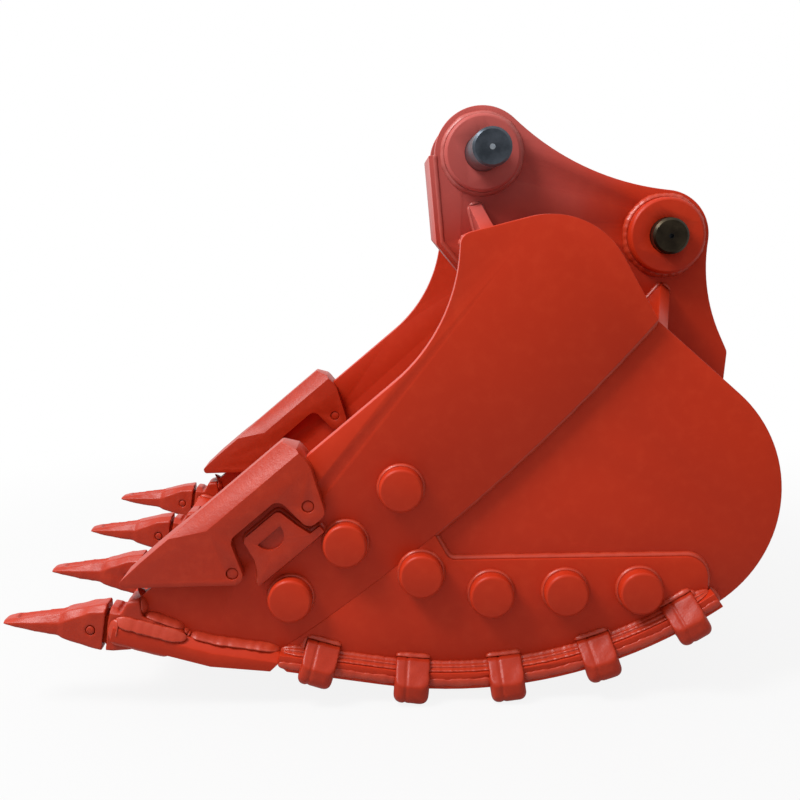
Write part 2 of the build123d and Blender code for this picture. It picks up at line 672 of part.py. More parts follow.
with BuildPart() as lock_pins:
    for y in ROW:
        lock_pin_solid(TOOTH_SECTIONS[1][1], 0, Mode.ADD, y)
finish(lock_pins, "tooth_lock_pins")

# Side shrouds
with BuildPart() as side_shroud:
    with BuildSketch(side(-BAR_CENTRE, SHROUD_ORIGIN, BAR_ANGLE)):
        with BuildLine():
            FilletPolyline(
                (-SHROUD_TOE, SHROUD_TOE_HEIGHT), (LOWER_LUG_AT, -LOWER_LUG_DEPTH),
                (NOTCH_START, -NOTCH_DEPTH), (NOTCH_END, -NOTCH_DEPTH),
                (UPPER_LUG_AT, -UPPER_LUG_DEPTH), (UPPER_LUG_AT + UPPER_LUG_WIDTH, -UPPER_LUG_DEPTH),
                (SHROUD_END, -SHROUD_END_DEPTH), (SHROUD_END, SHROUD_END_HEIGHT),
                (SHROUD_CROWN_END, SHROUD_CROWN), (SHROUD_CROWN_START, SHROUD_CROWN),
                (SHROUD_TOE_SLANT - SHROUD_TOE, SHROUD_TOE_TOP),
                radius=[SHROUD_TOE_ROUNDING] + [LUG_ROUNDING] * 5
                + [LUG_END_ROUNDING, 2 * SHROUD_EASE, 2 * SHROUD_EASE, LUG_END_ROUNDING, SHROUD_TOE_ROUNDING],
                close=True,
            )
        make_face()
    extrude(amount=SHROUD_WIDTH / 2, both=True)
    with BuildSketch(side(-BAR_CENTRE, SHROUD_ORIGIN, BAR_ANGLE)):
        with Locations((0, -SHROUD_WIDTH)):
            Rectangle(2 * (SHROUD_END + SHROUD_WIDTH), 2 * SHROUD_WIDTH)
    extrude(amount=BAR_THICKNESS / 2 + SHROUD_SLOT_PLAY, both=True, mode=Mode.SUBTRACT)
    bevel_run = SHROUD_WIDTH / 2 - SHROUD_CROWN_WIDTH / 2
    bevel_ends = (
        (SHROUD_BEVEL_START, SHROUD_BEVEL_FIRST), (SHROUD_BEVEL_FULL, 1), (SHROUD_END + SHROUD_EASE, 1),
    )
    for hand in (1, -1):
        for at, share in bevel_ends:
            section_at = SHROUD_ORIGIN + heading(BAR_ANGLE) * at
            with BuildSketch(across(section_at, heading(BAR_ANGLE + 180), -BAR_CENTRE)):
                edge, top = hand * (SHROUD_WIDTH / 2 + SHROUD_EASE), SHROUD_CROWN + SHROUD_EASE
                closed(
                    Vector(edge, top), Vector(edge - hand * (bevel_run + SHROUD_EASE) * share, top),
                    Vector(edge, top - (SHROUD_BEVEL_DROP + SHROUD_EASE) * share),
                )
        loft(ruled=True, mode=Mode.SUBTRACT)
    with BuildSketch(side(-BAR_CENTRE, SHROUD_ORIGIN, BAR_ANGLE)):
        with Locations(*LUG_POINTS):
            Circle(LUG_PIN_DIAMETER / 2 + LUG_PIN_CLEARANCE)
    extrude(amount=SHROUD_WIDTH, both=True, mode=Mode.SUBTRACT)
finish_pair(side_shroud, "side_shroud")

with BuildPart() as shroud_pins:
    with BuildSketch(side(-BAR_CENTRE, SHROUD_ORIGIN, BAR_ANGLE)):
        with Locations(*LUG_POINTS):
            Circle(LUG_PIN_DIAMETER / 2)
    extrude(amount=SHROUD_WIDTH / 2 - LUG_PIN_RECESS, both=True)
finish_pair(shroud_pins, "shroud_pins")

# Weld-on bosses that fill the notch between the shroud's lugs, with a half-round recess
with BuildPart() as shroud_boss:
    with BuildSketch(side(-BAR_FACE, SHROUD_ORIGIN, BAR_ANGLE)):
        left, right = NOTCH_START + SHROUD_BOSS_GAP, NOTCH_END - SHROUD_BOSS_GAP
        top, waist = -NOTCH_DEPTH - 2 * SHROUD_BOSS_GAP, -SHROUD_BOSS_WAIST
        ankle = SHROUD_BOSS_TOE_HEIGHT - SHROUD_BOSS_DEPTH
        with BuildLine():
            FilletPolyline(
                (left - SHROUD_BOSS_TOE, -SHROUD_BOSS_DEPTH), (left - SHROUD_BOSS_TOE / 2, ankle),
                (left, waist), (left + SHROUD_BOSS_LEAN, top),
                (right - SHROUD_BOSS_LEAN, top), (right, waist),
                (right + SHROUD_BOSS_LEAN, ankle), (right + SHROUD_BOSS_TOE, ankle),
                (right + SHROUD_BOSS_TOE, -SHROUD_BOSS_DEPTH),
                radius=[SHROUD_EASE] * 2 + [SHROUD_BOSS_ROUNDING] * 4 + [SHROUD_EASE] * 3,
                close=True,
            )
        make_face()
    extrude(amount=SHROUD_BOSS_THICKNESS)
    with BuildSketch(side(-BAR_FACE - SHROUD_BOSS_THICKNESS, SHROUD_ORIGIN, BAR_ANGLE)):
        with BuildLine():
            recess_left = Vector((left + right - RECESS_WIDTH) / 2, -RECESS_TOP)
            recess_right = recess_left + Vector(RECESS_WIDTH, 0)
            recess_low = recess_left + Vector(RECESS_WIDTH / 2, -RECESS_HEIGHT)
            Line(recess_left, recess_right)
            ThreePointArc(recess_left, recess_low, recess_right)
        make_face()
    extrude(amount=-RECESS_DEPTH, mode=Mode.SUBTRACT)
finish_pair(shroud_boss, "shroud_boss")

# Heel shrouds, hooked over the edge of the base plate and the wear plate
with BuildPart() as heel_shrouds:
    for i in range(HEEL_SHROUDS):
        turn = (i + 0.5 - HEEL_SHROUDS_AHEAD) * HEEL_SHROUD_PITCH
        with BuildSketch(across(HEEL_CENTRE, heading(turn))) as hook:
            sole_corner = Vector(HALF_EDGE + HEEL_SHROUD_OUT, SHROUD_SOLE)
            closed(
                Vector(WEAR_FACE, HEEL_RADIUS - HEEL_SHROUD_TOP),
                Vector(WEAR_FACE + HEEL_SHROUD_HEAD, HEEL_RADIUS - HEEL_SHROUD_TOP),
                Vector(HALF_EDGE + HEEL_SHROUD_OUT, HEEL_RADIUS + SHELL_THICKNESS),
                sole_corner, Vector(HALF_EDGE - HEEL_SHROUD_UNDER, SHROUD_SOLE),
                Vector(HALF_EDGE - HEEL_SHROUD_UNDER, HEEL_RADIUS + SHELL_THICKNESS),
                Vector(WEAR_FACE, HEEL_RADIUS + SHELL_THICKNESS),
            )
            fillet(hook.vertices().sort_by_distance(sole_corner)[0], HEEL_SHROUD_CORNER)
        extrude(amount=HEEL_SHROUD_WIDTH / 2, both=True)
    standing_axis = place(HEEL_CENTRE)
    soles = [
        edge for edge in heel_shrouds.edges().filter_by(Axis.Y)
        if (edge.center() - Vector(standing_axis.X, edge.center().Y, standing_axis.Z)).length > SHROUD_SOLE
    ]
    fillet(soles, HEEL_SHROUD_ROUNDING)
    add(base_plate.part, mode=Mode.SUBTRACT)
    add(bottom_wear_plate.part, mode=Mode.SUBTRACT)
finish_pair(heel_shrouds, "heel_shrouds")


def touching_arc_centre(first: Vector, second: Vector) -> Vector:
    """Centre of the hollow arc that touches both eyes of an ear from above."""
    reach_first, reach_second = EAR_NECK_RADIUS + FRONT_EYE_RADIUS, EAR_NECK_RADIUS + REAR_EYE_RADIUS
    gap = (second - first).length
    share = (reach_first**2 - reach_second**2 + gap**2) / (2 * gap)
    rise = sqrt(reach_first**2 - share**2)
    line = (second - first).normalized()
    return first + line * share + Vector(-line.Y, line.X) * rise


def arc_middle(centre: Vector, first: Vector, last: Vector) -> Vector:
    """Middle point of the shorter arc from one point to another round a centre."""
    return centre + ((first - centre) + (last - centre)).normalized() * (first - centre).length


# Ear plates: two eyes, a hollow neck between them and a tail down the back
ARM_PIN = Vector(0, 0)
NECK_CENTRE = touching_arc_centre(ARM_PIN, LINK_PIN)
FRONT_TOUCH = ARM_PIN + (NECK_CENTRE - ARM_PIN).normalized() * FRONT_EYE_RADIUS
REAR_TOUCH = LINK_PIN + (NECK_CENTRE - LINK_PIN).normalized() * REAR_EYE_RADIUS
TAIL_CENTRE = LINK_PIN + heading(-TAIL_START_ANGLE) * (REAR_EYE_RADIUS + TAIL_RADIUS)
TAIL_TOUCH = LINK_PIN + heading(-TAIL_START_ANGLE) * REAR_EYE_RADIUS
TAIL_TOP = TAIL_CENTRE + heading(180 + TAIL_END_ANGLE) * TAIL_RADIUS
TAIL_TIP = TAIL_TOP + heading(TAIL_END_ANGLE - 90) * TAIL_STRAIGHT
EAR_FRONT = ARM_PIN + heading(180 + FRONT_PLATE_LEAN) * FRONT_EYE_RADIUS
EAR_KNEE = EAR_FRONT + heading(FRONT_PLATE_LEAN - 90) * FRONT_PLATE_DROP
TONGUE_TIP = EAR_KNEE + heading(-TONGUE_ANGLE) * TONGUE_LENGTH
MID_SHELL = SHELL_THICKNESS / 2
TONGUE_ROOT = throat(MID_SHELL, TONGUE_REACH + TOP_PLATE_SETBACK)

with BuildPart() as ear_plate:
    with BuildSketch(side(-EAR_INNER)) as ear_outline:
        with BuildLine():
            tail_toe = BACK_END - TAIL_TOE_SWEEP
            ThreePointArc(EAR_FRONT, arc_middle(ARM_PIN, EAR_FRONT, FRONT_TOUCH), FRONT_TOUCH)
            ThreePointArc(FRONT_TOUCH, arc_middle(NECK_CENTRE, FRONT_TOUCH, REAR_TOUCH), REAR_TOUCH)
            ThreePointArc(REAR_TOUCH, arc_middle(LINK_PIN, REAR_TOUCH, TAIL_TOUCH), TAIL_TOUCH)
            ThreePointArc(TAIL_TOUCH, arc_middle(TAIL_CENTRE, TAIL_TOUCH, TAIL_TOP), TAIL_TOP)
            toe_top = back(tail_toe, SHELL_THICKNESS + TAIL_TOE_HEIGHT)
            Polyline(TAIL_TOP, TAIL_TIP, toe_top, back(tail_toe, MID_SHELL))
            CenterArc(BACK_CENTRE, BACK_RADIUS + MID_SHELL, tail_toe - 90, TAIL_TOE_SWEEP)
            Polyline(back(BACK_END, MID_SHELL), bend(MID_SHELL), hood(HINGE_END, MID_SHELL))
            CenterArc(TOP_CENTRE, TOP_RADIUS + MID_SHELL, HINGE_END - 90, HOOD_END - HINGE_END)
            Polyline(hood(HOOD_END, MID_SHELL), TONGUE_ROOT, TONGUE_TIP, EAR_KNEE, EAR_FRONT)
        make_face()
        fillet(ear_outline.vertices().sort_by_distance(TAIL_TIP)[0], TAIL_ROUNDING)
        wrapper_section(0, SHELL_THICKNESS, Mode.SUBTRACT)
        top_section(0, SHELL_THICKNESS, TOP_PLATE_SETBACK, Mode.SUBTRACT)
        with Locations(ARM_PIN, LINK_PIN):
            Circle(BORE_RADIUS, mode=Mode.SUBTRACT)
    extrude(amount=EAR_THICKNESS)
finish_pair(ear_plate, "ear_plate")

# Bosses welded on the outer faces of the ears
for name, centre in (("arm_pin_boss", ARM_PIN), ("link_pin_boss", LINK_PIN)):
    with BuildPart() as boss:
        with BuildSketch(side(-EAR_OUTER, centre)):
            Circle(BOSS_DIAMETER / 2)
            Circle(BORE_RADIUS, mode=Mode.SUBTRACT)
        extrude(amount=BOSS_WIDTH)
        chamfer(boss.faces().sort_by(Axis.Y)[0].outer_wire().edges(), BOSS_CHAMFER)
    finish_pair(boss, name)

# Plate that closes the front of the ears and folds back under the throat
with BuildPart() as ear_front_plate:
    plate_out = heading(180 + FRONT_PLATE_LEAN)
    plate_top = EAR_FRONT + heading(90 + FRONT_PLATE_LEAN) * FRONT_PLATE_TOP
    tongue_out = heading(-90 - TONGUE_ANGLE)
    with BuildSketch(side()):
        closed(
            plate_top, EAR_KNEE, TONGUE_TIP, TONGUE_TIP + tongue_out * FRONT_PLATE_THICKNESS,
            mitre(EAR_KNEE, plate_out, tongue_out, FRONT_PLATE_THICKNESS),
            plate_top + plate_out * FRONT_PLATE_THICKNESS,
        )
    extrude(amount=EAR_OUTER, both=True)
finish(ear_front_plate, "ear_front_plate")

# Cross plate between the ears, in line with the rear gussets
REAR_GUSSET_FOOT = bend(SHELL_THICKNESS) - heading(BACK_END) * REAR_GUSSET_AT
with BuildPart() as ear_cross_plate:
    with BuildSketch(across(REAR_GUSSET_FOOT, heading(BACK_END))):
        with Locations((0, CROSS_PLATE_HEIGHT / 2)):
            Rectangle(EAR_GAP, CROSS_PLATE_HEIGHT)
    extrude(amount=GUSSET_THICKNESS / 2, both=True)
finish(ear_cross_plate, "ear_cross_plate")

# Gussets from the ears' outer faces down to the shell; the rear one stops short of the link pin's boss
boss_over = LINK_PIN - REAR_GUSSET_FOOT
boss_aside = boss_over.dot(heading(BACK_END)) - GUSSET_THICKNESS / 2
boss_clear = BOSS_DIAMETER / 2 + REAR_GUSSET_BOSS_GAP
rear_gusset_height = boss_over.dot(outward(BACK_END)) - sqrt(max(boss_clear**2 - boss_aside**2, 0))
gussets = {
    "front_gusset": (
        throat(SHELL_THICKNESS) - heading(HOOD_END) * FRONT_GUSSET_AT,
        HOOD_END, FRONT_GUSSET_HEIGHT, FRONT_GUSSET_REACH,
    ),
    "rear_gusset": (REAR_GUSSET_FOOT, BACK_END, rear_gusset_height, REAR_GUSSET_REACH),
}
for name, (foot, slope, height, reach) in gussets.items():
    with BuildPart() as gusset:
        with BuildSketch(across(foot, heading(slope))):
            closed(
                Vector(EAR_OUTER, 0), Vector(EAR_OUTER, height),
                Vector(EAR_OUTER + reach, GUSSET_TOE), Vector(EAR_OUTER + reach, 0),
            )
        extrude(amount=GUSSET_THICKNESS / 2, both=True)
    finish_pair(gusset, name)

# Pins: the link pin is home, and the arm pin is drawn part of the way out to the left
HOME_END = EAR_OUTER + BOSS_WIDTH + PIN_PROUD
for name, centre, drawn in (("arm_pin", ARM_PIN, ARM_PIN_DRAWN), ("link_pin", LINK_PIN, 0)):
    with BuildPart() as pin:
        near_end = -HOME_END - drawn
        with BuildSketch(side(near_end + PIN_LENGTH, centre)):
            Circle(PIN_DIAMETER / 2)
        extrude(amount=PIN_LENGTH)
        chamfer(pin.edges().filter_by(GeomType.CIRCLE), PIN_CHAMFER)
        for end in (near_end, near_end + PIN_LENGTH):
            with BuildSketch(side(end, centre)):
                Circle(PIN_CENTRE_HOLE / 2)
            extrude(amount=PIN_CENTRE_HOLE, both=True, mode=Mode.SUBTRACT)
    finish(pin, name)
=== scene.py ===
"""Rock bucket for a digger: painted plates, rough castings, weld beads and two steel pins.

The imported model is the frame. Lengths are in metres, +Z is up, and the teeth point along -X.
Left is -Y, as seen by someone who looks the way the teeth point, and the camera stands on the left.
"""

import logging
import math
from dataclasses import dataclass, field
from enum import Enum
from typing import Callable, Sequence

import bmesh
import bpy
import numpy as np
from mathutils import Matrix, Vector
from mathutils.bvhtree import BVHTree


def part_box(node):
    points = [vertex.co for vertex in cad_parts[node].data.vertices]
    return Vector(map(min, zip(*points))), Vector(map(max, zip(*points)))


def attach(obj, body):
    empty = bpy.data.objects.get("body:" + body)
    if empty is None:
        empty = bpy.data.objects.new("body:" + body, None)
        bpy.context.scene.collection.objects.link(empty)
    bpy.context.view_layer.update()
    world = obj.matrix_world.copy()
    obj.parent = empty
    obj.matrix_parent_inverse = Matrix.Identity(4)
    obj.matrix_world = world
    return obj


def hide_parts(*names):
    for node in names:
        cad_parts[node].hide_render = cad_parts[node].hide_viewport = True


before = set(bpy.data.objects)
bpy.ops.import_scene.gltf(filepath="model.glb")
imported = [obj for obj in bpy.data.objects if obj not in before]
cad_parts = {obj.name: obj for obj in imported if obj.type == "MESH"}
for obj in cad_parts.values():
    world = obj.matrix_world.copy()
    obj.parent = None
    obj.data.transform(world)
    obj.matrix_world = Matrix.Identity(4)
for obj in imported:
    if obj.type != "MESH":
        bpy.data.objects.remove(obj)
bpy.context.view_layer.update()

BUCKET = "bucket"
MM = 0.001
MERGE_GAP = 0.01 * MM
FLAT_ANGLE = 0.3
EASED_ANGLE = 30.0
WHITE = (1.0, 1.0, 1.0, 1.0)
log = logging.getLogger("rock_bucket")

Colour = tuple[float, float, float, float]


class Hand(Enum):
    """The two sides of the bucket, with the sign of Y on each."""

    LEFT = -1
    RIGHT = 1

    @property
    def word(self) -> str:
        """Lower-case word used in node names."""
        return self.name.lower()


def middle_of(node: str) -> np.ndarray:
    """Middle of a CAD node's box."""
    low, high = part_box(node)
    return (np.array(low) + np.array(high)) / 2


ARM_PIN = middle_of("arm_pin")
EYE_MIDDLE = ARM_PIN * (1, 0, 1)


# Shader nodes


class Nodes:
    """Short ways to add and join the nodes of one shader tree."""

    def __init__(self, tree: bpy.types.NodeTree) -> None:
        """Take a tree in hand."""
        self.tree = tree

    def feed(self, node: bpy.types.Node, links: dict[object, object]) -> None:
        """Feed a node's inputs.

        Args:
            node: The node.
            links: Input name or number to a socket that feeds it, or to a plain value.
        """
        for key, value in links.items():
            if isinstance(value, bpy.types.NodeSocket):
                self.tree.links.new(value, node.inputs[key])
            else:
                node.inputs[key].default_value = value

    def add(self, kind: str, links: dict[object, object], **settings: object) -> bpy.types.Node:
        """Add a node.

        Args:
            kind: Name of the node type, without its ShaderNode prefix.
            links: What feeds its inputs, as in feed.
            settings: Properties of the node.

        Returns:
            The new node.
        """
        made = self.tree.nodes.new("ShaderNode" + kind)
        for key, value in settings.items():
            setattr(made, key, value)
        self.feed(made, links)
        return made

    def placed(self, group: bpy.types.NodeTree, values: dict[str, object]) -> bpy.types.Node:
        """Place a node group.

        Args:
            group: The group.
            values: Its values here, for each input that doesn't keep its default.

        Returns:
            The node that holds the group.
        """
        made = self.tree.nodes.new("ShaderNodeGroup")
        made.node_tree = group
        self.feed(made, values)
        return made

    def math(self, operation: str, *values: object) -> bpy.types.NodeSocket:
        """Work a number out from one or two others."""
        return self.add("Math", dict(enumerate(values)), operation=operation).outputs[0]

    def length(self, vector: bpy.types.NodeSocket) -> bpy.types.NodeSocket:
        """Length of a vector."""
        return self.add("VectorMath", {0: vector}, operation="LENGTH").outputs["Value"]

    def ranged(self, value: object, source: tuple[object, object], target: tuple[object, object],
               **settings: object) -> bpy.types.NodeSocket:
        """Carry a number over from one range to another.

        Args:
            value: The number.
            source: Ends of the range that it comes from.
            target: Ends of the range that it goes to.
            settings: Properties of the node.

        Returns:
            The new number.
        """
        return self.add("MapRange", dict(enumerate((value, *source, *target))), **settings).outputs[0]

    def blended(self, share: object, first: object, second: object) -> bpy.types.NodeSocket:
        """Blend two colours: all of the first at a share of 0, and all of the second at 1."""
        return self.add("Mix", {0: share, 6: first, 7: second}, data_type="RGBA").outputs[2]


class Group(Nodes):
    """A shader node group in the making."""

    def __init__(self, name: str, inputs: dict[str, object], outputs: Sequence[str]) -> None:
        """Make the group's sockets.

        Args:
            name: Name of the group.
            inputs: Default value of each input: a number, or four numbers for a colour.
            outputs: Names of the outputs; one called Colour is a colour and the rest are numbers.
        """
        super().__init__(bpy.data.node_groups.new(name, "ShaderNodeTree"))
        for key, value in inputs.items():
            kind = "NodeSocketColor" if isinstance(value, tuple) else "NodeSocketFloat"
            self.tree.interface.new_socket(key, in_out="INPUT", socket_type=kind).default_value = value
        for key in outputs:
            kind = "NodeSocketColor" if key == "Colour" else "NodeSocketFloat"
            self.tree.interface.new_socket(key, in_out="OUTPUT", socket_type=kind)
        self.inputs = self.tree.nodes.new("NodeGroupInput").outputs
        self.sink = self.tree.nodes.new("NodeGroupOutput")

    def put(self, **outputs: bpy.types.NodeSocket) -> bpy.types.NodeTree:
        """Feed the group's outputs by name, and return its tree."""
        self.feed(self.sink, outputs)
        return self.tree


def mottle_group() -> bpy.types.NodeTree:
    """Sprayed paint's cloudy tone: a broad and a fine noise darken and lighten the colour.

    Returns:
        The group, with outputs Colour, Gloss (a change of roughness) and Height (for a bump).
    """
    g = Group(
        "spray_mottle",
        {"Base": (0.6, 0.1, 0.05, 1.0), "Light": (0.7, 0.2, 0.1, 1.0), "Dark": (0.3, 0.03, 0.01, 1.0),
         "Most Light": 0.35, "Most Dark": 0.3, "Duller": 0.07, "Shinier": -0.05, "Rise": 0.3,
         "Cloud Scale": 3.0, "Speck Scale": 38.0, "Peel Scale": 260.0, "Cast Scale": 70.0,
         "Cast Amount": 0.0},
        ["Colour", "Gloss", "Height"],
    )
    where = g.add("TexCoord", {}).outputs["Object"]

    def noise(scale: str, detail: float, roughness: float = 0.5) -> bpy.types.NodeSocket:
        """Noise whose scale is an input of the group."""
        links = {"Vector": where, "Scale": g.inputs[scale], "Detail": detail, "Roughness": roughness}
        return g.add("TexNoise", links).outputs["Fac"]

    cloud = noise("Cloud Scale", 5.0, 0.6)
    specks = noise("Speck Scale", 3.0, 0.6)
    peel = noise("Peel Scale", 2.0)
    cast = noise("Cast Scale", 6.0, 0.65)
    shade = g.ranged(cloud, (0.3, 0.72), (0.0, g.inputs["Most Dark"]), clamp=True)
    lift = g.ranged(specks, (0.48, 0.8), (0.0, g.inputs["Most Light"]), clamp=True)
    colour = g.blended(lift, g.blended(shade, g.inputs["Base"], g.inputs["Dark"]), g.inputs["Light"])
    gloss = g.ranged(cloud, (0.25, 0.75), (g.inputs["Shinier"], g.inputs["Duller"]))
    rough = g.math("MULTIPLY", cast, g.inputs["Cast Amount"])
    skin = g.math("MULTIPLY", peel, g.inputs["Rise"])
    return g.put(Colour=colour, Gloss=gloss, Height=g.math("ADD", rough, skin))


def painted_sheen_group(centre: np.ndarray, half_width: float) -> bpy.types.NodeTree:
    """Painted sheen round the arm pin: a pale haze of light painted into the colour, strongest at the eyes
    and gone within half a metre.

    Args:
        centre: Middle of the painted sheen, between the ears.
        half_width: Distance along Y to the bosses' ends, up to which the painted sheen doesn't fade.

    Returns:
        The group, with output Mask.
    """
    g = Group("handling_film", {"Reach": 0.37, "Core": 0.02, "Most": 0.5, "Cloud Scale": 6.0}, ["Mask"])
    where = g.add("TexCoord", {}).outputs["Object"]
    moved = g.add("Mapping", {"Vector": where, "Location": tuple(-centre)}).outputs[0]
    parts = g.add("SeparateXYZ", {0: moved}).outputs
    past = g.math("MAXIMUM", g.math("SUBTRACT", g.math("ABSOLUTE", parts[1]), half_width), 0.0)
    far = g.length(g.add("CombineXYZ", {0: parts[0], 1: past, 2: parts[2]}).outputs[0])
    cloud = g.add("TexNoise", {"Vector": where, "Scale": g.inputs["Cloud Scale"], "Detail": 3.0})
    distance = g.math("MULTIPLY", far, g.ranged(cloud.outputs["Fac"], (0.3, 0.7), (0.85, 1.15)))
    mask = g.ranged(distance, (g.inputs["Reach"], g.inputs["Core"]), (0.0, g.inputs["Most"]),
                    interpolation_type="SMOOTHSTEP")
    return g.put(Mask=mask)


# Finishes


def blank_material(name: str) -> tuple[bpy.types.Material, Nodes, bpy.types.Node]:
    """Start a material.

    Args:
        name: Its name.

    Returns:
        The material, its nodes and its shader.
    """
    made = bpy.data.materials.new(name)
    made.use_nodes = True
    nodes = Nodes(made.node_tree)
    return made, nodes, nodes.tree.nodes["Principled BSDF"]


@dataclass(frozen=True)
class Paint:
    """Orange-red sprayed paint. Colours are linear."""

    name: str
    base: Colour
    light: Colour
    dark: Colour
    roughness: float
    cast_amount: float = 0.0
    cast_scale: float = 70.0
    rise: float = 0.3
    bump: float = 0.15
    bump_depth: float = 2 * MM
    shine: float = 0.16
    # Pale pink of the painted sheen round the eyes, and the largest share of it in the colour.
    film: Colour = (0.34, 0.14, 0.14, 1.0)
    painted_sheen_most: float = 0.5

    def material(self, mottle: bpy.types.NodeTree, film: bpy.types.NodeTree) -> bpy.types.Material:
        """Build the material.

        Args:
            mottle: Shader group that gives the paint its tone, gloss and height.
            film: Shader group that gives the mask of the painted sheen, a pale haze of light round the
                eyes.

        Returns:
            The material.
        """
        made, nodes, shader = blank_material(self.name)
        tone = nodes.placed(mottle, {
            "Base": self.base, "Light": self.light, "Dark": self.dark, "Rise": self.rise,
            "Cast Amount": self.cast_amount, "Cast Scale": self.cast_scale,
        }).outputs
        sheen_mask = nodes.placed(film, {"Most": self.painted_sheen_most}).outputs
        relief = {"Height": tone["Height"], "Strength": self.bump, "Distance": self.bump_depth}
        nodes.feed(shader, {
            # Painted sheen: the colour is blended towards the pale pink where the sheen mask is high.
            "Base Color": nodes.blended(sheen_mask["Mask"], tone["Colour"], self.film),
            "Roughness": nodes.math("ADD", tone["Gloss"], self.roughness),
            "Normal": nodes.add("Bump", relief).outputs["Normal"],
            "Specular IOR Level": self.shine,
        })
        made.diffuse_color = self.base
        return made


@dataclass(frozen=True)
class TurnedSteel:
    """Dark turned steel: fine rings round an axis, stains, and a painted mark at the turning centre of each
    end, dark as painted shade in the hole and pale on the arm pin as a painted reflection.
    """

    name: str
    axis: tuple[float, float, float]
    dark: Colour
    light: Colour
    # Painted shade of the turning centre's hole: a dark disc of this radius at the middle of each end.
    centre: Colour = (0.016, 0.018, 0.022, 1.0)
    painted_centre_radius: float = 5.5 * MM
    rings: float = 900.0
    ring_bump: float = 0.12
    ring_depth: float = 0.3 * MM
    stain_scale: float = 24.0
    stain_stops: tuple[float, float] = (0.35, 0.7)
    roughness: tuple[float, float] = (0.3, 0.5)
    metallic: float = 0.85

    def material(self) -> bpy.types.Material:
        """Build the material, with rings round the pin's own axis.

        Returns:
            The material.
        """
        made, nodes, shader = blank_material(self.name)
        where = nodes.add("TexCoord", {}).outputs["Object"]
        centred = nodes.add("Mapping", {"Vector": where, "Location": tuple(-v for v in self.axis)})
        parts = nodes.add("SeparateXYZ", {0: centred.outputs[0]}).outputs
        radius = nodes.length(nodes.add("CombineXYZ", {0: parts[0], 1: 0.0, 2: parts[2]}).outputs[0])
        wave = nodes.math("SINE", nodes.math("MULTIPLY", radius, self.rings))
        noise = {"Vector": where, "Scale": self.stain_scale, "Detail": 6.0, "Roughness": 0.6}
        stain = nodes.add("TexNoise", noise).outputs["Fac"]
        tone = nodes.add("ValToRGB", {0: stain})
        stops = zip(tone.color_ramp.elements, self.stain_stops, (self.dark, self.light))
        for element, place, colour in stops:
            element.position, element.color = place, colour
        bump = nodes.add("Bump", {"Height": wave, "Strength": self.ring_bump, "Distance": self.ring_depth})
        # Painted turning centre: inside this radius the colour is the centre colour, a painted shade of the
        # hole, and on the arm pin a painted reflection.
        middle = nodes.math("LESS_THAN", radius, self.painted_centre_radius)
        nodes.feed(shader, {
            "Base Color": nodes.blended(middle, tone.outputs[0], self.centre),
            "Roughness": nodes.ranged(stain, (0.3, 0.7), self.roughness),
            "Normal": bump.outputs["Normal"],
            "Metallic": self.metallic,
        })
        return made


@dataclass
class Finishes:
    """All paints of the bucket, built once."""

    plate: bpy.types.Material = field(init=False)
    cast: bpy.types.Material = field(init=False)
    weld: bpy.types.Material = field(init=False)

    def __post_init__(self) -> None:
        """Build the shared groups and the paints."""
        # The second group is the mask of the painted sheen round the eyes.
        groups = mottle_group(), painted_sheen_group(EYE_MIDDLE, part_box("arm_pin_boss_right")[1][1])
        self.plate = Paint(
            "orange_plate",
            base=(0.47, 0.028, 0.007, 1.0), light=(0.54, 0.044, 0.013, 1.0), dark=(0.38, 0.018, 0.004, 1.0),
            roughness=0.4,
        ).material(*groups)
        self.cast = Paint(
            "orange_casting",
            base=(0.38, 0.024, 0.006, 1.0), light=(0.5, 0.045, 0.015, 1.0), dark=(0.28, 0.014, 0.004, 1.0),
            roughness=0.36, cast_amount=1.0, bump=0.35, shine=0.24,
        ).material(*groups)
        self.weld = Paint(
            "orange_weld",
            base=(0.45, 0.036, 0.012, 1.0), light=(0.6, 0.085, 0.04, 1.0), dark=(0.32, 0.018, 0.006, 1.0),
            roughness=0.34, cast_amount=0.6, cast_scale=140.0, bump=0.3, shine=0.4,
        ).material(*groups)


# Meshes


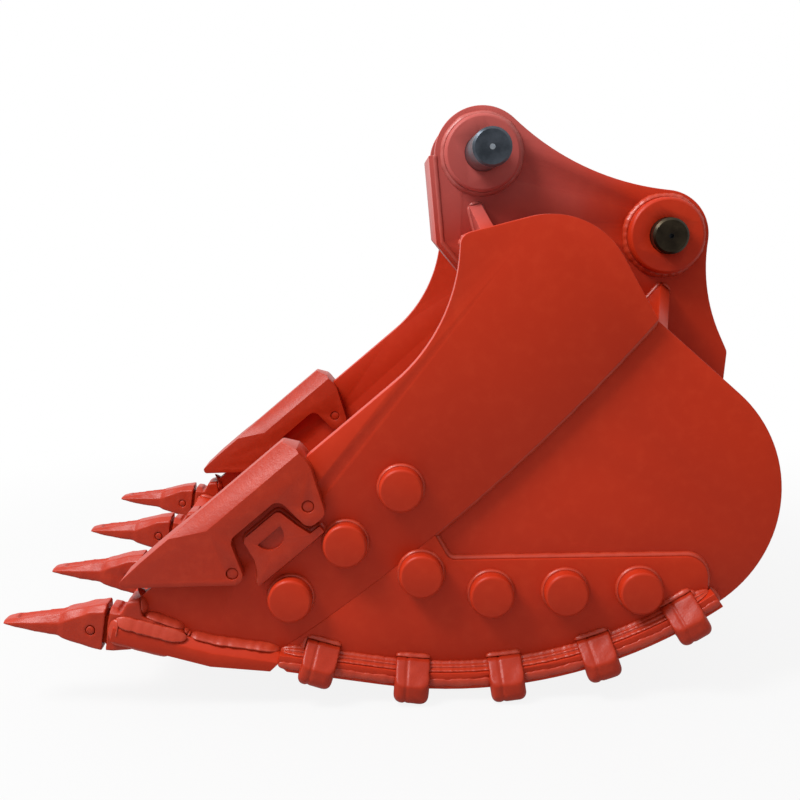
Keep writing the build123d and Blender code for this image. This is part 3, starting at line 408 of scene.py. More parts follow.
@dataclass(frozen=True)
class Surface:
    """Points and faces of one or more closed surfaces."""

    points: np.ndarray
    quads: np.ndarray
    caps: tuple[tuple[int, ...], ...] = ()

    @staticmethod
    def rings(grid: np.ndarray, closed: bool) -> "Surface":
        """Skin a grid of rings: point (i, j) joins (i + 1, j) and (i, j + 1), and j wraps round.

        Args:
            grid: Points, as rings by points round each ring by 3.
            closed: Whether the last ring joins the first; otherwise both ends get a flat cap.

        Returns:
            The surface, with its faces turned outwards by the sign of its volume.
        """
        rings, around = grid.shape[:2]
        i, j = np.meshgrid(np.arange(rings if closed else rings - 1), np.arange(around), indexing="ij")
        ahead, beside = (i + 1) % rings, (j + 1) % around
        corners = [i * around + j, i * around + beside, ahead * around + beside, ahead * around + j]
        quads = np.stack([c.ravel() for c in corners], axis=1)
        points = grid.reshape(-1, 3)
        middle = points.mean(axis=0)
        a, b, c, d = (points[quads[:, k]] - middle for k in range(4))
        volume = (np.cross(a, b) * c).sum() + (np.cross(a, c) * d).sum()
        last = (rings - 1) * around
        ends = [] if closed else [tuple(range(around))[::-1], tuple(range(last, last + around))]
        if volume > 0:
            return Surface(points, quads, tuple(ends))
        return Surface(points, quads[:, ::-1], tuple(end[::-1] for end in ends))

    @staticmethod
    def joined(parts: Sequence["Surface"]) -> "Surface":
        """Put several surfaces into one.

        Args:
            parts: The surfaces.

        Returns:
            One surface with all their points, quads and caps.
        """
        starts = [int(start) for start in np.cumsum([0] + [len(part.points) for part in parts])]
        placed = list(zip(parts, starts))
        return Surface(
            np.concatenate([part.points for part in parts]),
            np.concatenate([part.quads + start for part, start in placed]),
            tuple(tuple(k + start for k in cap) for part, start in placed for cap in part.caps),
        )

    def mesh(self, name: str) -> bpy.types.Mesh:
        """Make a smooth-shaded mesh of the surface.

        Args:
            name: Name of the mesh.

        Returns:
            The mesh.
        """
        made = bpy.data.meshes.new(name)
        made.from_pydata(self.points.tolist(), [], self.quads.tolist() + list(self.caps))
        made.shade_smooth()
        return made


def link_mesh(name: str, mesh: bpy.types.Mesh, material: bpy.types.Material) -> bpy.types.Object:
    """Put a mesh in the scene as a piece that rides on the bucket.

    Args:
        name: Name of the piece.
        mesh: Its mesh, in place.
        material: Its finish.

    Returns:
        The new object.
    """
    made = bpy.data.objects.new(name, mesh)
    bpy.context.collection.objects.link(made)
    mesh.materials.clear()
    mesh.materials.append(material)
    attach(made, BUCKET)
    log.info("made %s", name)
    return made


def merged(node: str) -> bmesh.types.BMesh:
    """Read a CAD node's mesh, with its doubles merged.

    Args:
        node: Name of the CAD node.

    Returns:
        The mesh in hand; whoever asks for it frees it.
    """
    work = bmesh.new()
    work.from_mesh(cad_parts[node].data)
    bmesh.ops.remove_doubles(work, verts=work.verts, dist=MERGE_GAP)
    work.normal_update()
    return work


def eased_copy(node: str, material: bpy.types.Material, slot: str, radius: float,
               steps: int = 2) -> bpy.types.Object:
    """Stand a copy of a CAD node in for it, with its edges eased to a small radius.

    Args:
        node: Name of the CAD node.
        material: Its finish.
        slot: Not used; material slot of the record that the finish stands for.
        radius: Radius of the eased edges.
        steps: Facets round each edge.

    Returns:
        The new object.
    """
    work = merged(node)
    bmesh.ops.dissolve_limit(
        work, angle_limit=math.radians(FLAT_ANGLE), verts=work.verts, edges=work.edges
    )
    mesh = bpy.data.meshes.new(f"{node}_eased")
    work.to_mesh(mesh)
    work.free()
    mesh.shade_smooth()
    made = link_mesh(mesh.name, mesh, material)
    ease = made.modifiers.new("ease", "BEVEL")
    ease.width = radius
    ease.segments = steps
    ease.limit_method = "ANGLE"
    ease.angle_limit = math.radians(EASED_ANGLE)
    ease.harden_normals = True
    ease.miter_outer = "MITER_ARC"
    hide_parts(node)
    return made


@dataclass(frozen=True)
class Foundry:
    """How rounded and how lumpy a casting comes out of its mould. Lengths are in metres."""

    grain: float = 3 * MM
    rounds: int = 12
    lump: float = 0.5 * MM
    shortest: float = 25 * MM
    longest: float = 90 * MM
    waves: int = 12
    sunk: float = 1.5

    def softened(self, points: np.ndarray, edges: np.ndarray) -> np.ndarray:
        """Round a mesh: in each round a point moves half of the way to the average of its neighbours.

        Args:
            points: Points of the mesh.
            edges: Pairs of points that are joined.

        Returns:
            The moved points.
        """
        ends = np.concatenate([edges, edges[:, ::-1]])
        count = np.bincount(ends[:, 0], minlength=len(points))[:, None]
        for _ in range(self.rounds):
            near = points[ends[:, 1]]
            sums = [np.bincount(ends[:, 0], weights=column, minlength=len(points)) for column in near.T]
            points = (points + np.stack(sums, axis=1) / count) / 2
        return points

    def lumps(self, points: np.ndarray, seed: int) -> np.ndarray:
        """Height of the cast skin: a sum of plane sine waves in chance directions, less `sunk`.

        Args:
            points: Points of the mesh.
            seed: Number that fixes the waves.

        Returns:
            The height, from about three lumps under the mould's own surface up to about that surface.
        """
        dice = np.random.default_rng(seed)
        way = dice.normal(size=(3, self.waves))
        spans = dice.uniform(self.shortest, self.longest, self.waves)
        way *= 2 * math.pi / (np.linalg.norm(way, axis=0) * spans)
        waves = np.sin(points @ way + dice.uniform(0, 2 * math.pi, self.waves))
        return self.lump * (waves.sum(axis=1) / math.sqrt(self.waves) - self.sunk)


def cast_copy(node: str, material: bpy.types.Material, skin: Foundry, seed: int,
              relief: Callable[[np.ndarray], np.ndarray] | None = None) -> bpy.types.Object:
    """Stand a copy of a CAD node in for it, as it comes from the mould: rounded and a little lumpy.

    Args:
        node: Name of the CAD node.
        material: Its finish.
        skin: How rounded and lumpy it is.
        seed: Number that fixes its lumps.
        relief: Gives the height of raised or sunk lines at each point.

    Returns:
        The new object.
    """
    work = merged(node)
    source = bpy.data.meshes.new(f"{node}_mould")
    work.to_mesh(source)
    work.free()
    mould = bpy.data.objects.new(source.name, source)
    bpy.context.collection.objects.link(mould)
    grid = mould.modifiers.new("grid", "REMESH")
    grid.mode = "VOXEL"
    grid.voxel_size = skin.grain
    mesh = bpy.data.meshes.new_from_object(mould.evaluated_get(bpy.context.evaluated_depsgraph_get()))
    bpy.data.objects.remove(mould)
    points = np.empty(len(mesh.vertices) * 3)
    mesh.vertices.foreach_get("co", points)
    edges = np.empty(len(mesh.edges) * 2, dtype=np.int32)
    mesh.edges.foreach_get("vertices", edges)
    points = skin.softened(points.reshape(-1, 3), edges.reshape(-1, 2))
    mesh.vertices.foreach_set("co", points.ravel())
    mesh.update()
    normals = np.empty(len(mesh.vertices) * 3)
    mesh.vertex_normals.foreach_get("vector", normals)
    height = skin.lumps(points, seed) + (relief(points) if relief else 0.0)
    points += normals.reshape(-1, 3) * height[:, None]
    mesh.vertices.foreach_set("co", points.ravel())
    mesh.update()
    mesh.name = f"{node}_cast"
    mesh.shade_smooth()
    made = link_mesh(mesh.name, mesh, material)
    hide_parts(node)
    return made


# Weld seams, read from where the CAD parts stand on each other


@dataclass(frozen=True)
class Seam:
    """A line along the foot of a part, with the two directions that a weld there fills.

    `out` runs along the surface that carries the part, away from it, and `up` runs up its side.
    """

    points: np.ndarray
    out: np.ndarray
    up: np.ndarray
    closed: bool

    def lengths(self) -> np.ndarray:
        """Distance of each point from the first, along the seam."""
        steps = np.linalg.norm(np.diff(self.points, axis=0), axis=1)
        return np.concatenate([[0.0], np.cumsum(steps)])

    def resampled(self, step: float) -> "Seam":
        """Space the points evenly along the seam, and interpolate both directions between them.

        Args:
            step: About the distance between two points.

        Returns:
            The new seam.
        """
        points, out, up = self.points, self.out, self.up
        if self.closed:
            points, out, up = (np.concatenate([rows, rows[:1]]) for rows in (points, out, up))
        along = Seam(points, out, up, False).lengths()
        count = max(int(along[-1] / step), 3)
        places = np.linspace(0, along[-1], count + 1)
        places = places[:-1] if self.closed else places
        table = np.concatenate([points, out, up], axis=1)
        fresh = np.stack([np.interp(places, along, column) for column in table.T], axis=1)
        return Seam(fresh[:, :3], fresh[:, 3:6], fresh[:, 6:], self.closed)

    def kept(self, keep: Callable[["Seam"], np.ndarray]) -> list["Seam"]:
        """Cut the seam to the runs of points that a test keeps.

        Args:
            keep: Gives a mask of the points that stay.

        Returns:
            The runs of more than two points.
        """
        mask = keep(self)
        if mask.all():
            return [self]
        first = int(np.argmin(mask)) if self.closed else 0
        order = np.roll(np.arange(len(mask)), -first)
        edges = np.flatnonzero(np.diff(np.concatenate([[0], mask[order].astype(int), [0]])))
        runs = [order[start:end] for start, end in zip(edges[::2], edges[1::2]) if end - start > 2]
        return [Seam(self.points[run], self.out[run], self.up[run], False) for run in runs]


SEATED_GAP = 0.4 * MM
SEATED_FACING = 0.9
SHARP_TURN = math.cos(math.radians(35))


def seams(node: str, carriers: Sequence[str], step: float = 3 * MM) -> list[Seam]:
    """Find the lines where a part's seated faces end on the parts that carry it.

    Args:
        node: Name of the standing part's CAD node.
        carriers: Names of the CAD nodes that it stands on.
        step: Distance between the points of a seam.

    Returns:
        The seams, each one smooth: they part at sharp corners.
    """
    work = merged(node)
    trees = []
    for carrier in carriers:
        other = merged(carrier)
        trees.append(BVHTree.FromBMesh(other))
        other.free()

    def on_carrier(face: bmesh.types.BMFace) -> bool:
        """Whether a face lies on a carrier's face that looks the other way."""
        middle = face.calc_center_median()
        hits = [tree.find_nearest(middle, SEATED_GAP) for tree in trees]
        return any(hit[0] is not None and hit[1].dot(face.normal) < -SEATED_FACING for hit in hits)

    seated = {face.index for face in work.faces if on_carrier(face)}
    work.edges.ensure_lookup_table()
    feet: dict[int, tuple[np.ndarray, np.ndarray]] = {}
    at_point: dict[int, list[int]] = {}
    for edge in work.edges:
        under = [face for face in edge.link_faces if face.index in seated]
        beside = [face for face in edge.link_faces if face.index not in seated]
        if len(under) == 1 and len(beside) == 1:
            feet[edge.index] = (np.array(beside[0].normal), -np.array(under[0].normal))
            for point in edge.verts:
                at_point.setdefault(point.index, []).append(edge.index)

    def following(edge: int, point: int) -> int | None:
        """Find the seam's next edge past a point.

        Args:
            edge: The edge that leads to the point.
            point: The point.

        Returns:
            The next edge, or None where the seam ends or turns sharply.
        """
        rest = [other for other in at_point[point] if other != edge]
        if len(rest) != 1:
            return None
        turns = [np.dot(feet[edge][k], feet[rest[0]][k]) for k in (0, 1)]
        return rest[0] if min(turns) > SHARP_TURN else None

    def walk(edge: int, point: int, used: set[int]) -> list[int]:
        """Follow the seam from an edge past one of its points.

        Args:
            edge: The first edge, which is left out.
            point: The point where the way starts.
            used: Edges that are taken already; those found are added.

        Returns:
            The edges in order.
        """
        chain = []
        while (ahead := following(edge, point)) is not None and ahead not in used:
            used.add(ahead)
            chain.append(ahead)
            point = next(p.index for p in work.edges[ahead].verts if p.index != point)
            edge = ahead
        return chain

    found: list[Seam] = []
    used: set[int] = set()
    work.verts.ensure_lookup_table()
    for start in feet:
        if start in used:
            continue
        used.add(start)
        left, right = (p.index for p in work.edges[start].verts)
        chain = walk(start, left, used)[::-1] + [start] + walk(start, right, used)
        ends = [{p.index for p in work.edges[edge].verts} for edge in chain]
        if len(chain) == 1:
            order = [left, right]
        else:
            order = [(ends[0] - ends[1]).pop()]
            for pair in ends:
                order.append((pair - {order[-1]}).pop())
        closed = order[0] == order[-1] and len(chain) > 2
        sides = np.array([np.concatenate(feet[edge]) for edge in chain])
        before = np.concatenate([sides[-1:] if closed else sides[:1], sides])
        after = np.concatenate([sides, sides[:1] if closed else sides[-1:]])
        blend = before + after
        blend[:, :3] /= np.linalg.norm(blend[:, :3], axis=1, keepdims=True)
        blend[:, 3:] /= np.linalg.norm(blend[:, 3:], axis=1, keepdims=True)
        points = np.array([work.verts[index].co for index in order])
        last = -1 if closed else None
        found.append(Seam(points[:last], blend[:last, :3], blend[:last, 3:], closed).resampled(step))
    work.free()
    return found


@dataclass(frozen=True)
class Bead:
    """A weld bead laid in the corner of a seam. Lengths are in metres.

    `rest` is about the mean of |sin|, taken off the waves so that they don't swell the bead.
    `thinnest` is the square of the share of its size that an open end keeps.
    """

    along: float = 9 * MM
    up: float = 9 * MM
    pitch: float = 5 * MM
    ripple: float = 0.07
    wander: float = 0.08
    fullness: float = 1.5
    sweep: float = 90.0
    strings: int = 1
    string_depth: float = 0.09
    around: int = 7
    taper: float = 1.7
    lag: float = 0.35
    rest: float = 0.6
    thinnest: float = 0.04
    waves: int = 6
    wave_mm: tuple[float, float] = (12.0, 90.0)
    wave_height: float = 3.5

    def noise(self, along: np.ndarray, total: float, seed: int) -> np.ndarray:
        """Slow unevenness along the seam, mostly from -1 to 1: sine waves that fit its length.

        Args:
            along: Distance along the seam at each point.
            total: Length of the seam.
            seed: Number that fixes the waves.

        Returns:
            The value at each point.
        """
        dice = np.random.default_rng(seed)
        spans = dice.uniform(*self.wave_mm, self.waves) * MM
        turns = np.maximum(np.round(total / spans), 1)[:, None]
        phases = dice.uniform(0, 2 * math.pi, self.waves)[:, None]
        waves = np.sin(2 * math.pi * turns * along[None] / max(total, MM) + phases)
        return waves.sum(axis=0) / self.wave_height

    def surface(self, seam: Seam, seed: int) -> Surface:
        """Sweep the bead along a seam.

        A point at angle a of its section is corner + reach * (along cos a * out + up sin a * up),
        with a from 0 to the sweep. Reach follows a superellipse of power `fullness`, rises and falls
        with |sin| of the distance to make ripples that lag in the middle, and thins at open ends.
        The last point of each ring lies under the metal.

        Args:
            seam: The seam to fill.
            seed: Number that fixes the bead's unevenness.

        Returns:
            The bead's closed surface.
        """
        along = seam.lengths()
        closing = np.linalg.norm(seam.points[0] - seam.points[-1]) if seam.closed else 0.0
        total = along[-1] + closing
        angle = np.radians(np.linspace(0, self.sweep, self.around))
        cosine, sine = np.cos(angle), np.sin(angle)
        reach = (np.abs(cosine) ** self.fullness + np.abs(sine) ** self.fullness) ** (-1 / self.fullness)
        cycles = max(round(total / self.pitch), 1)
        lag = self.lag * np.sin(angle * 180 / self.sweep)
        wave = np.abs(np.sin(math.pi * (cycles * along[:, None] / total - lag[None])))
        size = 1 + self.ripple * (wave - self.rest) + self.wander * self.noise(along, total, seed)[:, None]
        if self.strings > 1:
            streaks = np.abs(np.sin(angle * self.strings * 90 / self.sweep))
            size = size * (1 + self.string_depth * (streaks - self.rest)[None])
        if not seam.closed:
            from_end = np.minimum(along, total - along)
            near = np.clip(from_end / (self.taper * max(self.along, self.up)), 0, 1)
            size = size * np.sqrt(np.clip(1 - (1 - near) ** 2, self.thinnest, 1))[:, None]
        size = size * reach[None]
        across = (size * cosine * self.along)[:, :, None] * seam.out[:, None]
        rise = (size * sine * self.up)[:, :, None] * seam.up[:, None]
        shown = seam.points[:, None] + across + rise
        if self.sweep > 90:
            under = 0.3 * seam.up * self.up
        else:
            under = 0.25 * (seam.out * self.along + seam.up * self.up)
        buried = (seam.points - under)[:, None]
        return Surface.rings(np.concatenate([shown, buried], axis=1), seam.closed)


@dataclass(frozen=True)
class WeldRun:
    """Beads of one kind along the seams of one part."""

    node: str
    carriers: tuple[str, ...]
    bead: Bead
    keep: Callable[[Seam], np.ndarray] | None = None
    turned: Callable[[Seam], Seam] | None = None

    def surfaces(self, seed: int) -> list[Surface]:
        """Lay the beads.

        Args:
            seed: Number that fixes the unevenness of the first bead; each further one adds one.

        Returns:
            The beads' surfaces.
        """
        lines = seams(self.node, self.carriers)
        if self.keep:
            lines = [piece for line in lines for piece in line.kept(self.keep)]
        if self.turned:
            lines = [self.turned(line) for line in lines]
        return [self.bead.surface(line, seed + k) for k, line in enumerate(lines)]


def flush(seam: Seam) -> Seam:
    """Turn the directions of a flush seam, so that a bead of half a turn caps it."""
    return Seam(seam.points, seam.up, seam.out, seam.closed)


def sloped(seam: Seam) -> Seam:
    """Turn a seam's outward direction down by half a right angle, so that a bead fills a chamfer."""
    return Seam(seam.points, (seam.out - seam.up) / math.sqrt(2), seam.up, seam.closed)


# Sub-assemblies


@dataclass
class Studio:
    """Camera at the photograph's viewpoint, a soft lamp, a pale floor and a white background."""

    camera_from_pin: tuple[float, float] = (-0.1946, -0.1197)
    camera_y: float = -2.8514
    pitch: float = 9.251
    yaw: float = 0.196
    roll: float = 1.38
    focal_px: float = 1166.5
    image_px: float = 800.0
    sensor: float = 36.0
    lamp_place: tuple[float, float, float] = (-2.2, -1.5, 3.9)
    lamp_aim: tuple[float, float, float] = (0.0, 0.0, 0.55)
    lamp_size: float = 1.6
    lamp_power: float = 195.0
    floor_reach: float = 30.0
    floor_tone: float = 0.42
    floor_roughness: float = 0.9
    floor_glow: float = 0.88
    floor_near: float = 1.1
    floor_far: float = 2.6
    mirror_share: float = 0.2
    bright_side: tuple[float, float, float] = (-0.2, 0.45, 0.87)
    gradient: tuple[float, float] = (-0.5, 0.9)
    dim: float = 0.08
    bright: float = 1.25

    def camera(self) -> None:
        """Place the camera, which was worked out from the photograph's parallel edges."""
        data = bpy.data.cameras.new("camera")
        data.sensor_width = self.sensor
        data.lens = self.sensor * self.focal_px / self.image_px
        made = bpy.data.objects.new("camera", data)
        bpy.context.collection.objects.link(made)
        made.location = (
            ARM_PIN[0] + self.camera_from_pin[0], self.camera_y, ARM_PIN[2] + self.camera_from_pin[1],
        )
        turn = Matrix.Rotation(math.radians(self.roll), 3, "Y")
        turn = turn @ Matrix.Rotation(math.radians(-self.yaw), 3, "Z")
        turn = turn @ Matrix.Rotation(math.radians(90 - self.pitch), 3, "X")
        made.rotation_euler = turn.to_euler()
        bpy.context.scene.camera = made

    def lamp(self) -> None:
        """Hang a square soft lamp that looks at the middle of the bucket."""
        data = bpy.data.lights.new("key_lamp", "AREA")
        data.size = self.lamp_size
        data.energy = self.lamp_power
        made = bpy.data.objects.new("key_lamp", data)
        bpy.context.collection.objects.link(made)
        made.location = self.lamp_place
        way = Vector(self.lamp_aim) - Vector(self.lamp_place)
        made.rotation_euler = way.to_track_quat("-Z", "Y").to_euler()

    def shown_white(self, nodes: Nodes) -> bpy.types.NodeSocket:
        """Work out the share of plain white that a ray is shown.

        The camera and rays through glass are shown all of it, and mirror-like rays a part.

        Args:
            nodes: Nodes of the world or of the floor's material.

        Returns:
            The share.
        """
        path = nodes.add("LightPath", {}).outputs
        mirror = nodes.math("MULTIPLY", path["Is Glossy Ray"], self.mirror_share)
        through = nodes.math("MAXIMUM", path["Is Camera Ray"], path["Is Transmission Ray"])
        return nodes.math("MAXIMUM", mirror, through)

    def world(self) -> None:
        """Light the scene softly, most from above and behind, and show white behind it."""
        world = bpy.data.worlds.new("room")
        bpy.context.scene.world = world
        world.use_nodes = True
        world.node_tree.nodes.clear()
        nodes = Nodes(world.node_tree)
        where = nodes.add("TexCoord", {}).outputs["Generated"]
        facing = nodes.add("VectorMath", {0: where, 1: self.bright_side}, operation="DOT_PRODUCT")
        strength = nodes.ranged(facing.outputs["Value"], self.gradient, (self.dim, self.bright))
        soft = nodes.add("Background", {"Color": WHITE, "Strength": strength})
        plain = nodes.add("Background", {"Color": WHITE, "Strength": 1.0})
        mix = nodes.add("MixShader", {0: self.shown_white(nodes), 1: soft.outputs[0], 2: plain.outputs[0]})
        nodes.add("OutputWorld", {0: mix.outputs[0]})

    def floor(self) -> None:
        """Lay a wide pale floor that keeps the bucket's shadow and fades to white further out."""
        mesh = bpy.data.meshes.new("floor")
        low, high = -self.floor_reach, self.floor_reach
        corners = [(low, low, 0), (high, low, 0), (high, high, 0), (low, high, 0)]
        mesh.from_pydata(corners, [], [(0, 1, 2, 3)])
        made = bpy.data.objects.new("floor", mesh)
        bpy.context.collection.objects.link(made)
        material, nodes, shader = blank_material("floor_white")
        nodes.feed(shader, {"Base Color": (*[self.floor_tone] * 3, 1.0), "Roughness": self.floor_roughness})
        far = nodes.length(nodes.add("TexCoord", {}).outputs["Object"])
        glow = nodes.ranged(far, (self.floor_near, self.floor_far), (self.floor_glow, 1.0),
                            interpolation_type="SMOOTHSTEP")
        share = nodes.math("MULTIPLY", self.shown_white(nodes), glow)
        white = nodes.add("Emission", {"Color": WHITE, "Strength": 1.0})
        mix = nodes.add("MixShader", {0: share, 1: shader.outputs[0], 2: white.outputs[0]})
        nodes.feed(nodes.tree.nodes["Material Output"], {0: mix.outputs[0]})
        mesh.materials.append(material)

    def build(self) -> None:
        """Set up the whole studio."""
        self.camera()
        self.world()
        self.floor()
        self.lamp()
        bpy.context.scene.view_settings.view_transform = "Standard"


@dataclass
class Shell:
    """Plates of the shell and the ears, with eased edges."""

    finishes: Finishes
    plate_edge: float = 1.5 * MM

    def build(self) -> None:
        """Stand an eased copy in for each plate."""
        names = ["lip_plate", "base_plate", "bottom_wear_plate", "wrapper_plate", "top_plate",
                 "ear_front_plate", "ear_cross_plate"]
        for stem in ("side_bar", "side_plate", "side_wear_plate", "wear_buttons", "ear_plate",
                     "arm_pin_boss", "link_pin_boss", "front_gusset", "rear_gusset"):
            names += [f"{stem}_{hand.word}" for hand in Hand]
        for name in names:
            eased_copy(name, self.finishes.plate, "shell_paint", self.plate_edge)


@dataclass
class Castings:
    """Teeth, adapters and shrouds, with well-rounded edges.

    The heel shrouds' axis (x, z) and their pitch in degrees are those of the part's source.
    """

    finishes: Finishes
    edge: float = 3.0 * MM
    edge_steps: int = 3
    pin_edge: float = 3.5 * MM
    tooth: Foundry = Foundry(2.5 * MM, 3, 0.6 * MM, 22 * MM, 90 * MM)
    adapter: Foundry = Foundry(3 * MM, 4, 0.7 * MM, 22 * MM, 80 * MM)
    shroud: Foundry = Foundry(2.5 * MM, 12, 0.5 * MM)
    heel_axis: tuple[float, float] = (0.1361, 1.0030)
    shroud_pitch: float = 11.65
    crease_at: float = -12 * MM
    crease_width: float = 3 * MM
    crease_depth: float = 1.8 * MM

    def crease(self, points: np.ndarray) -> np.ndarray:
        """Parting line on each heel shroud: its depth is a bell curve of the arc from its place.

        Args:
            points: Points of the shrouds.

        Returns:
            The height at each point, which is never above zero.
        """
        x, down = points[:, 0] - self.heel_axis[0], self.heel_axis[1] - points[:, 2]
        turns = np.degrees(np.arctan2(x, down)) / self.shroud_pitch - 0.5
        arc = np.radians((turns - np.round(turns)) * self.shroud_pitch) * np.hypot(x, down)
        return -self.crease_depth * np.exp(-(((arc - self.crease_at) / self.crease_width) ** 2))

    def build(self) -> None:
        """Stand a rounded copy in for each casting."""
        skins = {f"tooth_adapter_{number}": self.adapter for number in range(1, 5)}
        skins.update({f"tooth_point_{number}": self.tooth for number in range(1, 5)})
        skins.update({f"heel_shrouds_{hand.word}": self.shroud for hand in Hand})
        for seed, (name, skin) in enumerate(skins.items(), start=101):
            relief = self.crease if skin is self.shroud else None
            cast_copy(name, self.finishes.cast, skin, seed, relief)
        finish = self.finishes.cast, "casting_paint"
        for hand in Hand:
            eased_copy(f"side_shroud_{hand.word}", *finish, self.edge, self.edge_steps)
            eased_copy(f"shroud_boss_{hand.word}", *finish, self.edge, self.edge_steps)
            eased_copy(f"shroud_pins_{hand.word}", *finish, self.pin_edge)
        eased_copy("tooth_lock_pins", *finish, self.pin_edge)


@dataclass
class Welds:
    """Weld beads along every seam that shows.

    `leaning` is how far a seam's unit direction has to go along an axis to face that way.
    """

    finishes: Finishes
    lip_chamfer: float = 16 * MM
    leaning: float = 0.3
    small: Bead = Bead(6 * MM, 6 * MM)
    wear_edge: Bead = Bead(8 * MM, 9 * MM)
    fillet: Bead = Bead()
    ring: Bead = Bead(5 * MM, 6 * MM, ripple=0.05, wander=0.05)
    boss: Bead = Bead(10 * MM, 10 * MM, wander=0.18)
    ledge: Bead = Bead(
        28 * MM, 15 * MM, 9 * MM, 0.015, 0.035, 1.2, strings=5, string_depth=0.2, around=31
    )
    rough: Bead = Bead(8 * MM, 8 * MM, 6 * MM, 0.1, 0.16)
    end: Bead = Bead(18 * MM, 12 * MM, 6 * MM, 0.05, 0.09, 1.2, around=11)
    foot: Bead = Bead(20 * MM, 13 * MM, 6 * MM, 0.04, 0.08, 1.2, around=11)
    cap: Bead = Bead(5 * MM, 2.5 * MM, sweep=180.0, fullness=2.0, around=9)
    pack: Bead = Bead(8 * MM, 3 * MM, ripple=0.03, wander=0.2, sweep=180.0, fullness=2.0, around=9)

    def side_runs(self, hand: Hand) -> dict[str, list[WeldRun]]:
        """List the weld runs on one side.

        Args:
            hand: The side.

        Returns:
            The runs of each piece, by the piece's name.
        """
        word, sign = hand.word, hand.value
        stems = ("side_bar", "side_plate", "side_wear_plate", "ear_plate")
        bar, plate, wear, ear = (f"{stem}_{word}" for stem in stems)

        def outer(level: float) -> Callable[[Seam], np.ndarray]:
            """Keep what lies further out than a distance from the middle."""
            return lambda seam: seam.points[:, 1] * sign > level

        def clear_of_bore(pin: str) -> Callable[[Seam], np.ndarray]:
            """Keep what faces away from a pin, so that no bead lies in its bore."""
            axis = middle_of(pin)
            return lambda seam: ((seam.points - axis) * seam.out)[:, ::2].sum(axis=1) > 0

        def top_of_wear(seam: Seam) -> np.ndarray:
            """Keep the wear plate's top and rear edge."""
            return (seam.out[:, 0] > -self.leaning) & (seam.out[:, 2] > -self.leaning)

        def upper(seam: Seam) -> np.ndarray:
            """Keep what faces up."""
            return seam.out[:, 2] > self.leaning

        bar_out = abs(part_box(bar)[0 if sign < 0 else 1][1])
        plate_out = abs(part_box(plate)[0 if sign < 0 else 1][1])
        base_out = abs(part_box("base_plate")[0][1])
        end_adapter = "tooth_adapter_1" if hand is Hand.LEFT else "tooth_adapter_4"
        return {
            "button_welds": [WeldRun(f"wear_buttons_{word}", (bar, wear, plate), self.ring)],
            "side_welds": [
                WeldRun(wear, (plate,), self.wear_edge, top_of_wear),
                WeldRun(plate, (bar,), self.fillet, outer(plate_out - MM)),
                WeldRun(plate, ("base_plate",), self.fillet),
                WeldRun(bar, ("lip_plate", end_adapter), self.foot),
            ],
            "ledge_welds": [
                WeldRun(wear, ("base_plate",), self.ledge, outer(bar_out - MM)),
                WeldRun("bottom_wear_plate", ("base_plate",), self.pack, outer(base_out - MM), flush),
            ],
            "ear_welds": [
                WeldRun(ear, ("wrapper_plate", "top_plate"), self.fillet),
                WeldRun(ear, ("ear_front_plate",), self.cap, turned=flush),
                WeldRun(f"arm_pin_boss_{word}", (ear,), self.fillet, clear_of_bore("arm_pin")),
                WeldRun(f"link_pin_boss_{word}", (ear,), self.boss, clear_of_bore("link_pin")),
                WeldRun(f"front_gusset_{word}", ("top_plate", "wrapper_plate", ear), self.small),
                WeldRun(f"rear_gusset_{word}", ("top_plate", "wrapper_plate", ear), self.small),
            ],
            "shroud_welds": [
                WeldRun(f"shroud_boss_{word}", (bar,), self.small),
                WeldRun(f"heel_shrouds_{word}", (wear, plate), self.rough, upper),
            ],
        }

    def build(self) -> None:
        """Lay all beads, one piece for each group of them."""
        pieces = {
            f"{name}_{hand.word}": runs for hand in Hand for name, runs in self.side_runs(hand).items()
        }
        sides = tuple(f"{stem}_{hand.word}" for stem in ("side_bar", "side_plate") for hand in Hand)
        adapters = [f"tooth_adapter_{number}" for number in range(1, 5)]
        round_cross = ("ear_plate_left", "ear_plate_right", "wrapper_plate")
        pieces["shell_welds"] = [
            WeldRun("wrapper_plate", sides, self.fillet),
            WeldRun("top_plate", sides, self.fillet),
            WeldRun("ear_cross_plate", round_cross, self.small),
        ]
        chamfer_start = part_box("lip_plate")[1][1] - self.lip_chamfer

        def over_chamfer(seam: Seam) -> np.ndarray:
            """Keep the seams that hang over the chamfer along the lip's ends."""
            return (abs(seam.points[:, 1]) > chamfer_start) & (seam.up[:, 2] > 0)

        pieces["adapter_welds"] = [
            run for adapter in adapters for run in (
                WeldRun(adapter, ("lip_plate",), self.rough, lambda seam: ~over_chamfer(seam)),
                WeldRun(adapter, ("lip_plate",), self.end, over_chamfer, sloped),
            )
        ]
        seed = 1
        for name, runs in pieces.items():
            parts = []
            for run in runs:
                laid = run.surfaces(seed)
                log.info("%s: %d beads along %s", name, len(laid), run.node)
                seed += len(laid)
                parts += laid
            link_mesh(name, Surface.joined(parts).mesh(name), self.finishes.weld)


@dataclass
class Pins:
    """The two hinge pins."""

    def build(self) -> None:
        """Give each pin its turned-steel finish."""
        steels = {
            "arm_pin": TurnedSteel(
                "arm_pin_steel", tuple(middle_of("arm_pin")),
                dark=(0.045, 0.055, 0.068, 1.0), light=(0.1, 0.115, 0.14, 1.0),
                # Pale painted reflection in the turning centre of the arm pin's ends.
                centre=(0.6, 0.65, 0.7, 1.0),
            ),
            "link_pin": TurnedSteel(
                "link_pin_steel", tuple(middle_of("link_pin")),
                dark=(0.02, 0.014, 0.008, 1.0), light=(0.055, 0.042, 0.024, 1.0),
            ),
        }
        for name, steel in steels.items():
            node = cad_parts[name]
            node.data.materials.clear()
            node.data.materials.append(steel.material())
            node.data.shade_smooth()
            log.info("dressed %s", name)


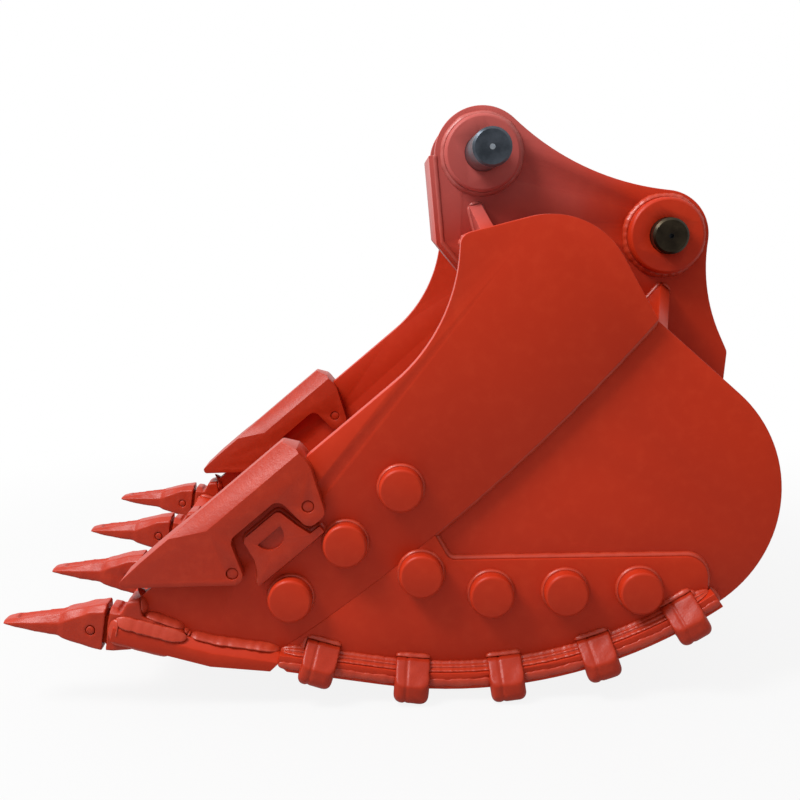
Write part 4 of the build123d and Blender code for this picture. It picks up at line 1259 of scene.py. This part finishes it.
def main() -> None:
    """Build the studio and every part of the bucket."""
    logging.basicConfig(level=logging.INFO, format="%(name)s: %(message)s")
    Studio().build()
    finishes = Finishes()
    Shell(finishes).build()
    Castings(finishes).build()
    Welds(finishes).build()
    Pins().build()


if __name__ == "__main__":
    main()
